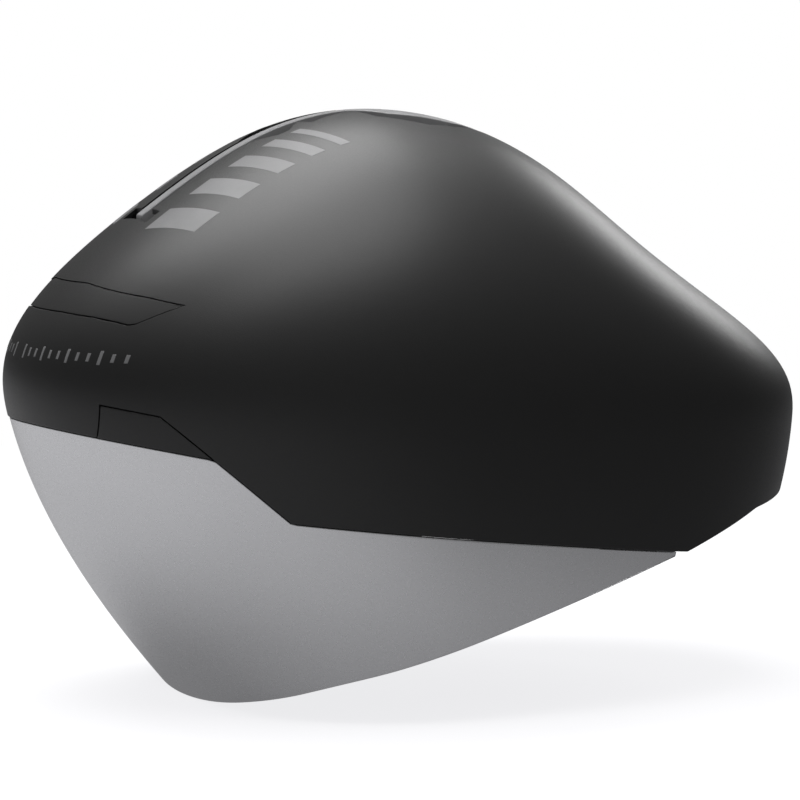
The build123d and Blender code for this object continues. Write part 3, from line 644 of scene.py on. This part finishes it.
def tip_turn(depth):
    """Turn at which the layer reaches the visor's tip."""
    x, level = visor_tip
    return halve(math.pi / 2, math.pi, lambda turn: ring_point(turn, level, depth)[0] > x)


lens_outer, lens_inner = lens_grid(lens_inset), lens_grid(lens_inset + lens_wall)
lens = sheet_solid("visor_lens_skin", lens_outer, lens_inner, visor_mirror, lens_rounding)
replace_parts(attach(lens, "visor"), "visor_lens")
print("lens vertices:", len(lens.data.vertices))

# %% [markdown]
# ## Flush plates and spine
# The dock plate and the two brow covers lie flush in their windows, and only a thin dark seam shows.
# Cut out of the shell they would have no rounded edges, so each is its own grid on the formula, a seam
# gap smaller than its window. The spine over the crown channel is made the same way, as a thick bar.


# %% Build the dock plate
dock_sink = 0.3


def with_corners(values, corners):
    """Even places with the corners added, so that the grid has a column at each corner."""
    return np.array(sorted(set(np.round(np.concatenate([values, corners]), 4))))


def dock_grid(depth):
    top, bottom, end = dock_half[:4], dock_half[:2:-1], dock_half[3][0]
    knees = [side * y for y, z in dock_half[1:9] for side in (1, -1) if y < end - 1]
    last = end - 2 * seam_gap
    across = with_corners(np.linspace(-last, last, plate_columns), knees)
    low = np.interp(np.abs(across), *zip(*bottom)) + seam_gap
    high = np.maximum(np.interp(np.abs(across), *zip(*top)) - seam_gap, low + seam_gap)
    levels = along_columns(low, high, np.linspace(0, 1, plate_rows))
    y = across[None, :] + 0 * levels
    return np.stack([nose(y, levels, depth), y, levels], -1)


grids = dock_grid(dock_sink), dock_grid(shell_wall)
dock = sheet_solid("dock_plate_skin", *grids, dock_black, plate_rounding)
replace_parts(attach(dock, "helmet"), "dock_plate")


# %% Build the brow covers
cover_columns, cover_start, cover_seam, cover_least = 30, 0.7, 1.3 * seam_gap, 0.3


def cover_grid(depth, side):
    xs, zs = zip(*cover_outline[3:0:-1])
    along = with_corners(np.linspace(xs[0] + cover_start, xs[-1] - seam_gap, cover_columns), xs[1:2])
    top = np.interp(along, xs, zs) - cover_seam
    low = np.minimum(shell_low(along), top - cover_least)
    levels = along_columns(low, top, np.linspace(0, 1, plate_rows))
    x = along[None, :] + 0 * levels
    return np.stack([x, side * flank(x, levels, depth), levels], -1)


for name, side in (("left", 1), ("right", -1)):
    grids = cover_grid(0.0, side), cover_grid(shell_wall, side)
    cover = sheet_solid("brow_cover_skin_" + name, *grids, shell_black, plate_rounding)
    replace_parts(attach(cover, "helmet"), "brow_cover_" + name)

# %% Build the spine over the crown channel
spine_half = [(0.680, 0.028), (0.10, 0.028), (0.03, 0.15), (-0.125, 0.224), (-0.40, 0.06), (-0.50, 0.01)]
spine_half = [(x * front_reach, y * half_width) for x, y in spine_half]
spine_columns, spine_rows, spine_depth = 120, 15, 8.4


def spine_grid(depth):
    xs, ys = zip(*reversed(spine_half))
    along = with_corners(np.linspace(xs[0], xs[-1], spine_columns), xs)
    across = np.linspace(-1, 1, spine_rows)[:, None] * np.interp(along, xs, ys)[None, :]
    x = along[None, :] + 0 * across
    return np.stack([x, across, crown_level(x, across, depth)], -1)


# The spine's colour is the light grey painted highlight, not a grey of its own.
spine = sheet_solid("spine_skin", spine_grid(0.0), spine_grid(spine_depth), spine_grey, spine_rounding)
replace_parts(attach(spine, "helmet"), "crown_spine")

# %% [markdown]
# ## Printed marks
# Slanted bars on the crown and a row of ticks on the forehead. They could be a mask in the shell's
# paint, but a mask has no edge of its own. So each is a thin plate that lies in the shell's surface
# and stands out of it by a few hundredths of a millimetre.

# %% Print bars and ticks: depths of the print's face and root, then the places of both kinds
print_proud, print_root = -0.05, 0.2
bar_starts, bar_widths = [92.0, 76.0, 62.0, 50.0, 40.0], [10.0, 8.5, 7.0, 5.5, 4.0]
bar_reach, bar_slant, bar_columns, bar_rows = (17.0, 41.0), -0.42, 24, 8
tick_level, tick_width, tick_pitch, tick_count, tick_start = 32.0, 1.2, 4.6, 12, 5.0
tick_heights, tick_columns, tick_rows = (5.0, 3.0, 3.0), 4, 6


def bar_grid(depth, start, width, side):
    across = np.linspace(*bar_reach, bar_columns)[None, :]
    along = start + bar_slant * (across - bar_reach[0]) + width * np.linspace(0, 1, bar_rows)[:, None]
    y = across + 0 * along
    return np.stack([along, side * y, crown_level(along, y, depth)], -1)


def tick_grid(depth, y, height, side):
    across = y + tick_width * np.linspace(-0.5, 0.5, tick_columns)[None, :]
    level = tick_level + height * np.linspace(-0.5, 0.5, tick_rows)[:, None]
    across, level = across + 0 * level, level + 0 * across
    return np.stack([nose(across, level, depth), side * across, level], -1)


def join(name, pieces):
    """One object of several, with their meshes put together."""
    mesh = bmesh.new()
    for piece in pieces:
        mesh.from_mesh(piece.data)
    joined = bpy.data.meshes.new(name)
    mesh.to_mesh(joined)
    mesh.free()
    joined.materials.append(pieces[0].data.materials[0])
    for piece in pieces:
        bpy.data.objects.remove(piece)
    return add_object(name, joined)


def marks(grid, places):
    """One thin plate for each place, on both sides of the middle."""
    made = []
    for place in places:
        for side in (1, -1):
            grids = [grid(depth, *place, side) for depth in (print_proud, print_root)]
            made.append(sheet_solid("mark", *grids, print_grey, print_rounding))
    return made


bars = marks(bar_grid, zip(bar_starts, bar_widths))
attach(join("crown_bars", bars), "helmet")
ticks = marks(tick_grid, [(tick_start + i * tick_pitch, tick_heights[i % 3]) for i in range(tick_count)])
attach(join("forehead_ticks", ticks), "helmet")
print("print marks:", len(bars), "bars and", len(ticks), "ticks")

# %% [markdown]
# ## Thread
# A sewn line is many equal stitches along a path. A loop could place them, but a node tree keeps the
# pitch even on any path: it cuts the path into even steps, and sets a small rounded stitch on each,
# turned along the path. The same tree serves the pads and the straps, with other sizes.


# %% Build the stitch tree
def stitch_tree(finish):
    tree = bpy.data.node_groups.new("stitches", "GeometryNodeTree")
    face = tree.interface
    face.new_socket("Geometry", in_out="INPUT", socket_type="NodeSocketGeometry")
    sizes = {
        size: face.new_socket(size, in_out="INPUT", socket_type="NodeSocketFloat").identifier
        for size in ("Pitch", "Length", "Thread")
    }
    face.new_socket("Geometry", in_out="OUTPUT", socket_type="NodeSocketGeometry")
    start, steps, tangent, turn, bead, size, place, real, paint, end = (
        tree.nodes.new(kind)
        for kind in (
            "NodeGroupInput", "GeometryNodeResampleCurve", "GeometryNodeInputTangent",
            "FunctionNodeAlignRotationToVector", "GeometryNodeMeshUVSphere", "ShaderNodeCombineXYZ",
            "GeometryNodeInstanceOnPoints", "GeometryNodeRealizeInstances", "GeometryNodeSetMaterial",
            "NodeGroupOutput",
        )
    )
    steps.mode, turn.axis = "LENGTH", "Z"
    preset(bead, {"Segments": 8, "Rings": 6, "Radius": 0.5})
    paint.inputs["Material"].default_value = finish
    for source, out, target, into in (
        (start, "Geometry", steps, "Curve"), (start, "Pitch", steps, "Length"),
        (tangent, "Tangent", turn, "Vector"), (start, "Thread", size, "X"), (start, "Thread", size, "Y"),
        (start, "Length", size, "Z"), (steps, "Curve", place, "Points"), (bead, "Mesh", place, "Instance"),
        (turn, "Rotation", place, "Rotation"), (size, "Vector", place, "Scale"),
        (place, "Instances", real, "Geometry"), (real, "Geometry", paint, "Geometry"),
        (paint, "Geometry", end, "Geometry"),
    ):
        link(tree, source.outputs[out], target.inputs[into])
    return tree, sizes


thread_grey = moulded("thread_grey", grey(0.045), grey(0.07), (0.7, 0.85), 0.4, 0.02, 0.3)
thread_tree, thread_sizes = stitch_tree(thread_grey)


def stitches(name, paths, pitch=2.6, length=1.7, thread=0.45):
    """Stitches along paths in millimetres, as one plain mesh."""
    curve = bpy.data.curves.new(name, "CURVE")
    curve.dimensions = "3D"
    for path in paths:
        spline = curve.splines.new("POLY")
        spline.points.add(len(path) - 1)
        for point, place in zip(spline.points, path):
            point.co = (*(np.array(place) * MM), 1)
    line = add_object(name + "_path", curve)
    nodes = line.modifiers.new("stitches", "NODES")
    nodes.node_group = thread_tree
    for size, value in (("Pitch", pitch), ("Length", length), ("Thread", thread)):
        nodes[thread_sizes[size]] = value * MM
    mesh = evaluated_mesh(line)
    mesh.name = name
    mesh.shade_smooth()
    bpy.data.objects.remove(line)
    return add_object(name, mesh)


# %% [markdown]
# ## Pads
# A pad is soft foam in a knit cover with a sewn channel. The swell could be drawn, but a cloth solver
# finds where a closed cover really bulges. Each pad starts from its CAD form, a voxel remesh gives it
# even cells, cloth with pressure fills it, and its back stays on the foam. The channel and its
# stitches come after, found by looking outwards from the middle of the head.

# %% Fill a pad with cloth pressure
head_centre = np.array([15.0, 0.0, -15.0])
cloth_steps, cloth_pressure, cloth_tension, cloth_bending = 20, 4.0, 18, 0.6
swell_limit, quick_swell, cell_size, ease_steps, ease_factor = 1.3, 0.4, 1.5, 3, 0.5
swell_facing, channel_facing = (1.5, 0.4), (2.0, -0.4)
channel_share, channel_width, channel_depth = 0.62, 1.1, 0.75
row_shares, row_steps, thread_sink = (channel_share, 0.88), 72, 0.05


def cloth_fill(made):
    """Swells a mesh with cloth pressure. Returns its points and how far each one moves."""
    before = points_of(made.data)
    cloth = made.modifiers.new("fill", "CLOTH")
    cloth.settings.use_pressure = True
    cloth.settings.uniform_pressure_force = cloth_pressure
    cloth.settings.effector_weights.gravity = 0
    cloth.settings.tension_stiffness = cloth_tension
    cloth.settings.bending_stiffness = cloth_bending
    cloth.point_cache.frame_start, cloth.point_cache.frame_end = 1, cloth_steps
    for step in range(1, cloth_steps + 1):
        scene.frame_set(step)
    swollen = evaluated_mesh(made)
    move = points_of(swollen) - before
    bpy.data.meshes.remove(swollen)
    made.modifiers.clear()
    scene.frame_set(1)
    far = np.linalg.norm(move, axis=1, keepdims=True)
    return before, move * np.minimum(1, swell_limit / np.maximum(far, 1e-9))


def facing_head(made, gain, offset):
    """Points and normals of a pad, and how much each point faces the head, from 0 to 1."""
    points = points_of(made.data)
    normals = np.array([v.normal for v in made.data.vertices])
    facing = (normals * unit(head_centre - points)).sum(1)
    return points, normals, np.clip(facing * gain + offset, 0, 1)


def pad_frame(points):
    """Centre of a pad, its long direction, its short one, and its reach along both."""
    centre = points.mean(0)
    values, directions = np.linalg.eigh(np.cov((points - centre).T))
    long, short = directions[:, 2], directions[:, 1]
    reach = np.abs((points - centre) @ long).max(), np.abs((points - centre) @ short).max()
    return centre, long, short, reach


def channel_dip(points, faces_in):
    """Depth of the sewn channel: an oval groove on the head side, a set share of the way to the rim."""
    centre, long, short, reach = pad_frame(points)
    along, across = (points - centre) @ long / reach[0], (points - centre) @ short / reach[1]
    ring = np.sqrt(along**2 + across**2)
    share = np.exp(-(((ring - channel_share) * reach[1] / channel_width) ** 2))
    return channel_depth * share * faces_in


def sewn_rows(made):
    """Closed rows of points on the head side of a pad."""
    points = points_of(made.data)
    centre, long, short, reach = pad_frame(points)
    faces = [tuple(face.vertices) for face in made.data.polygons]
    tree = BVHTree.FromPolygons([Vector(p) for p in points], faces)
    rows = []
    for share in row_shares:
        row = []
        for angle in np.linspace(0, 2 * math.pi, row_steps + 1):
            side = reach[0] * math.cos(angle) * long + reach[1] * math.sin(angle) * short
            aim = centre + share * side
            hit = tree.ray_cast(Vector(head_centre), Vector(aim - head_centre).normalized())
            if hit[0] is not None:
                row.append(np.array(hit[0] + hit[1] * thread_sink))
        if len(row) > row_steps // 2:
            rows.append(row)
    return rows


def pad_piece(node, body):
    made = add_object(node + "_soft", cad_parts[node].data.copy())
    remesh = made.modifiers.new("cells", "REMESH")
    remesh.mode = "VOXEL"
    remesh.voxel_size = cell_size * MM
    bake(made)
    smooth = made.modifiers.new("ease", "SMOOTH")
    smooth.iterations, smooth.factor = ease_steps, ease_factor
    bake(made)
    points, normals, faces_in = facing_head(made, *swell_facing)
    points, move = cloth_fill(made)
    set_points(made.data, points + move * faces_in[:, None])
    subdivide = made.modifiers.new("finer", "SUBSURF")
    subdivide.levels = subdivide.render_levels = 1
    bake(made)
    points, normals, faces_in = facing_head(made, *channel_facing)
    set_points(made.data, points - normals * channel_dip(points, faces_in)[:, None])
    made.data.materials.clear()
    made.data.materials.append(pad_knit)
    made.data.shade_smooth()
    rows = sewn_rows(made)
    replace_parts(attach(made, body), node)
    if rows:
        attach(stitches(node + "_thread", rows), body)
    return made


liner_pads = ["brow_pad", "crown_pad", "side_pad_left", "side_pad_right", "rear_pad"]
pads = {node: pad_piece(node, "helmet") for node in liner_pads}
pads |= {node: pad_piece(node, "cradle") for node in ("nape_pad_left", "nape_pad_right")}
print("pads:", {name: len(pad.data.vertices) for name, pad in pads.items()})

# %% [markdown]
# ## Chin straps
# Each strap forks below the ear: two legs run up inside the helmet and one runs to the buckle. Cloth
# would sag, but webbing is stiff and pulled straight, so each run is a ribbon swept along a line. Its
# own UV runs in millimetres along and across it, so the ribs follow every bend.

# %% Webbing ribbons
strap_width, strap_wall = 16.0, 1.4
leg_overrun, leg_steps, lead_in, end_gap = 0.10, 24, 8.0, 0.4
box_start, box_length, box_half_width, box_steps = 6.0, 14.0, 6.2, 8
front_anchor, rear_anchor, fork = (58.0, 74.8, -20.0), (-40.0, 70.0, -18.0), (9.0, 79.0, -60.0)
chin_route = [
    (10.0, 79.0, -64.0), (17.0, 76.8, -69.0), (26.0, 69.0, -77.0), (35.0, 58.0, -83.0), (43.0, 45.0, -87.0),
]
chin_up_fork, chin_up_buckle = (0.58, 0.0, 0.81), (1.0, 0.0, 0.35)
buckle_x, buckle_z, socket_end, tongue_end = 52.0, -90.0, 20.0, 15.0
section = [(-0.5, -0.25), (-0.48, -0.5), (0.48, -0.5), (0.5, -0.25)]
section += [(-side, -face) for side, face in section]


def smooth_route(points, steps=10):
    """Catmull-Rom line through the points."""
    points = np.array(points)
    ends = np.vstack([2 * points[0] - points[1], points, 2 * points[-1] - points[-2]])
    line = []
    for a, b, c, d in zip(ends, ends[1:], ends[2:], ends[3:]):
        for t in np.linspace(0, 1, steps, endpoint=False):
            bend, swing = 2 * a - 5 * b + 4 * c - d, 3 * b - a - 3 * c + d
            line.append(0.5 * (2 * b + (c - a) * t + bend * t**2 + swing * t**3))
    return np.array(line + [points[-1]])


def strap_frame(route, width_direction):
    """Length run at each point of a route, and the directions of the webbing's width and face."""
    run = np.concatenate([[0], np.cumsum(np.linalg.norm(np.diff(route, axis=0), axis=1))])
    forward = unit(np.gradient(route, axis=0))
    across = width_direction * np.ones_like(route)
    across = unit(across - forward * (across * forward).sum(1, keepdims=True))
    return run, across, np.cross(forward, across)


def ribbon(name, route, width_direction):
    """Flat webbing along a route, with a rounded section and its own UV."""
    run, across, thick = strap_frame(route, width_direction)
    n = len(section)
    points = [
        point + a * strap_width * side + b * strap_wall * face
        for point, a, b in zip(route, across, thick)
        for side, face in section
    ]
    faces = [
        (i * n + j, i * n + (j + 1) % n, (i + 1) * n + (j + 1) % n, (i + 1) * n + j)
        for i in range(len(route) - 1)
        for j in range(n)
    ]
    faces += [tuple(range(n))[::-1], tuple((len(route) - 1) * n + j for j in range(n))]
    made = new_object(name, points, faces, strap_rib)
    layer = made.data.uv_layers.new(name="run")
    for loop in made.data.loops:
        row, column = divmod(loop.vertex_index, n)
        layer.data[loop.index].uv = (run[row], section[column][0] * strap_width)
    return made


def side_leg(name, anchor):
    """Straight leg that starts a little past its anchor and ends at the fork."""
    anchor, end = np.array(anchor), np.array(fork)
    start = anchor - leg_overrun * (end - anchor)
    route = start + (end - start) * np.linspace(0, 1, leg_steps)[:, None]
    return ribbon(name, route, (anchor[2] - end[2], 0, end[0] - anchor[0]))


def chin_line(end):
    """Route of the chin strap to one half of the buckle, with the direction of its width."""
    last = [(buckle_x, end + gap, buckle_z) for gap in (lead_in, end_gap)]
    route = smooth_route(chin_route + last)
    turn = np.linspace(0, 1, len(route))[:, None]
    return route, np.array(chin_up_fork) * (1 - turn) + np.array(chin_up_buckle) * turn


def strap(name, end):
    legs = [side_leg("front", front_anchor), side_leg("rear", rear_anchor)]
    return join(name, legs + [ribbon("chin", *chin_line(end))])


def box_stitch(end):
    """Sewn box with a cross on both faces of the chin strap, where its end is folded back."""
    route, width_direction = chin_line(end)
    run, across, thick = strap_frame(route, width_direction)
    near, far = run[-1] - box_start, run[-1] - box_start - box_length
    corners = [(near, -1), (near, 1), (far, 1), (far, -1), (near, -1), (far, 1), (near, 1), (far, -1)]
    paths = []
    for face in (1, -1):
        path = []
        for (a, side_a), (b, side_b) in zip(corners, corners[1:]):
            for share in np.linspace(0, 1, box_steps, endpoint=False):
                place, side = a + (b - a) * share, side_a + (side_b - side_a) * share
                at = [np.interp(place, run, values) for values in (*route.T, *across.T, *thick.T)]
                middle, wide, out = np.array(at[:3]), np.array(at[3:6]), np.array(at[6:])
                path.append(middle + wide * side * box_half_width + out * face * strap_wall / 2)
        paths.append(path)
    return paths


def mirror_object(made):
    made.data.transform(Matrix.Diagonal((1.0, -1.0, 1.0, 1.0)))
    made.data.flip_normals()
    return made


strap_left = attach(strap("strap_left_webbing", socket_end), "helmet")
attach(stitches("strap_left_thread", box_stitch(socket_end), 2.2, 1.5), "helmet")
strap_right = mirror_object(strap("strap_right_webbing", tongue_end))
strap_right_thread = mirror_object(stitches("strap_right_thread", box_stitch(tongue_end), 2.2, 1.5))
for made in (strap_right, strap_right_thread):
    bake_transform(made)
for made, node in ((strap_left, "strap_left"), (strap_right, "strap_right")):
    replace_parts(made, node)

# %% [markdown]
# ## Hard parts from the CAD
# The frame's own meshes are exact, so nothing is gained by modelling these again. Each takes a
# procedural material, and the moulded ones a small bevel, because only a rounded edge catches light.

# %% Dress the CAD nodes
dress = {
    duct_black: ["crown_duct"],
    frame_black: ["visor_anchors", "visor_frame", "lower_rim_left", "lower_rim_right", "tail_diffuser"],
    rubber_black: ["edge_seal_left", "edge_seal_right", "fit_dial"],
    band_black: [
        "fit_band_left", "fit_band_right", "temple_guide_left", "temple_guide_right", "height_post",
        "height_carriage", "cradle_housing",
    ],
    pin_black: ["cradle_cover", "strap_pins", "post_pins"],
    acetal_white: ["drive_pinion"],
    magnet_nickel: ["dock_magnets"],
    foam_dark: ["foam_liner"],
    buckle_black: ["strap_divider_left", "strap_divider_right", "buckle_socket", "buckle_tongue"],
}
softened = {
    0.25: ["height_carriage", "fit_dial", "fit_band_left", "fit_band_right"],
    0.3: [
        "temple_guide_left", "temple_guide_right", "height_post", "strap_divider_left",
        "strap_divider_right", "tail_diffuser", "visor_frame",
    ],
    0.35: ["buckle_socket", "buckle_tongue"],
    0.4: ["cradle_housing"],
}
sharp_angle = 40
for finish, nodes in dress.items():
    for node in nodes:
        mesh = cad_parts[node].data
        mesh.materials.clear()
        mesh.materials.append(finish)
for width, nodes in softened.items():
    for node in nodes:
        round_edges(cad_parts[node], width, sharp_angle, segments=2)

# %% [markdown]
# ## Light, floor and camera
# The camera repeats the place found from the photograph's outline. A white room would wash out the
# mirror coat and the paint, so floor and world are white to the camera alone. The helmet reflects a
# floor that is lighter in front of it, and a room that is lighter above than round it.

# %% Floor
floor_half, floor_gap = 3.0, 0.5
floor_tones, floor_run = (0.105, 0.28), (-0.2, 0.3)
near_white, shadow_tone, fade_run = 0.82, 0.25, (0.3, 0.9)
low_point = (lens_outer[..., 2].min() - floor_gap) * MM
corners = [(-1, -1), (1, -1), (1, 1), (-1, 1)]
floor_mesh = bpy.data.meshes.new("floor")
corners = [(x * floor_half, y * floor_half, low_point) for x, y in corners]
floor_mesh.from_pydata(corners, [], [(0, 1, 2, 3)])
floor = add_object("floor", floor_mesh)


def camera_ray(tree):
    return tree.nodes.new("ShaderNodeLightPath").outputs["Is Camera Ray"]


def floor_material():
    made, tree, shader, place = material("floor_white")
    ahead = spread(tree, part_of(tree, place, "X"), *floor_tones, *floor_run)
    tone = mix_colour(tree, ahead, grey(0.0), grey(1.0))
    link(tree, tone, shader.inputs["Base Color"])
    link(tree, tone, shader.inputs["Emission Color"])
    preset(shader, {"Emission Strength": 1.0, "Roughness": 0.9, "Specular IOR Level": 0.0})
    reach = tree.nodes.new("ShaderNodeVectorMath")
    reach.operation = "LENGTH"
    link(tree, place, reach.inputs[0])
    far = spread(tree, reach.outputs["Value"], 0, 1, *fade_run)
    white = tree.nodes.new("ShaderNodeEmission")
    link(tree, mix_colour(tree, far, grey(near_white), (1, 1, 1)), white.inputs["Color"])
    soft = tree.nodes.new("ShaderNodeBsdfDiffuse")
    link(tree, mix_colour(tree, far, (shadow_tone,) * 3, (0, 0, 0)), soft.inputs["Color"])
    seen = tree.nodes.new("ShaderNodeAddShader")
    link(tree, white.outputs["Emission"], seen.inputs[0])
    link(tree, soft.outputs["BSDF"], seen.inputs[1])
    choice = tree.nodes.new("ShaderNodeMixShader")
    link(tree, camera_ray(tree), choice.inputs["Fac"])
    link(tree, shader.outputs["BSDF"], choice.inputs[1])
    link(tree, seen.outputs["Shader"], choice.inputs[2])
    link(tree, choice.outputs["Shader"], tree.nodes["Material Output"].inputs["Surface"])
    return made


floor_mesh.materials.append(floor_material())

# %% World
room_tones, room_run = (0.03, 0.36), (-0.1, 0.8)
world = bpy.data.worlds.new("studio")
scene.world = world
world.use_nodes = True
tree = world.node_tree
background = tree.nodes["Background"]
direction = tree.nodes.new("ShaderNodeTexCoord").outputs["Generated"]
room = spread(tree, part_of(tree, direction, "Z"), *room_tones, *room_run)
strength = tree.nodes.new("ShaderNodeMix")
strength.data_type = "FLOAT"
link(tree, camera_ray(tree), strength.inputs["Factor"])
link(tree, room, strength.inputs["A"])
strength.inputs["B"].default_value = 1.0
background.inputs["Color"].default_value = (1, 1, 1, 1)
link(tree, strength.outputs["Result"], background.inputs["Strength"])


# %% Lamps
def area_light(name, place_m, target_m, size_m, power):
    data = bpy.data.lights.new(name, "AREA")
    data.shape = "RECTANGLE"
    data.size, data.size_y = size_m
    data.energy = power
    lamp = add_object(name, data)
    lamp.location = place_m
    lamp.rotation_euler = (Vector(target_m) - Vector(place_m)).to_track_quat("-Z", "Y").to_euler()


# Name, place, target and size in metres, power in watts
area_light("key_above", (0.05, -0.42, 1.05), (0.03, 0.0, 0.08), (0.9, 0.7), 10.0)
area_light("top_soft", (0.12, 0.28, 1.1), (0.0, 0.0, 0.05), (0.8, 0.8), 7.0)
area_light("rim_behind", (-0.92, -0.52, 0.58), (-0.08, 0.0, 0.06), (0.4, 0.5), 3.6)

# %% Camera
camera_turn, camera_rise, camera_distance = math.radians(24.0), math.radians(5.7), 1.5
photo_pixels, pixels_per_mm, origin_pixel = 800, 2.6, (379.3, 420.2)
level_share = math.cos(camera_rise)
ahead, aside = math.sin(camera_turn) * level_share, math.cos(camera_turn) * level_share
back = Vector((ahead, aside, math.sin(camera_rise)))
camera_data = bpy.data.cameras.new("camera")
camera = add_object("camera", camera_data)
camera.location = back * camera_distance
camera.rotation_euler = (-back).to_track_quat("-Z", "Y").to_euler()
camera_data.lens = camera_data.sensor_width * camera_distance / MM * pixels_per_mm / photo_pixels
camera_data.shift_x = (photo_pixels / 2 - origin_pixel[0]) / photo_pixels
camera_data.shift_y = (origin_pixel[1] - photo_pixels / 2) / photo_pixels
scene.camera = camera
scene.view_settings.view_transform = "Standard"
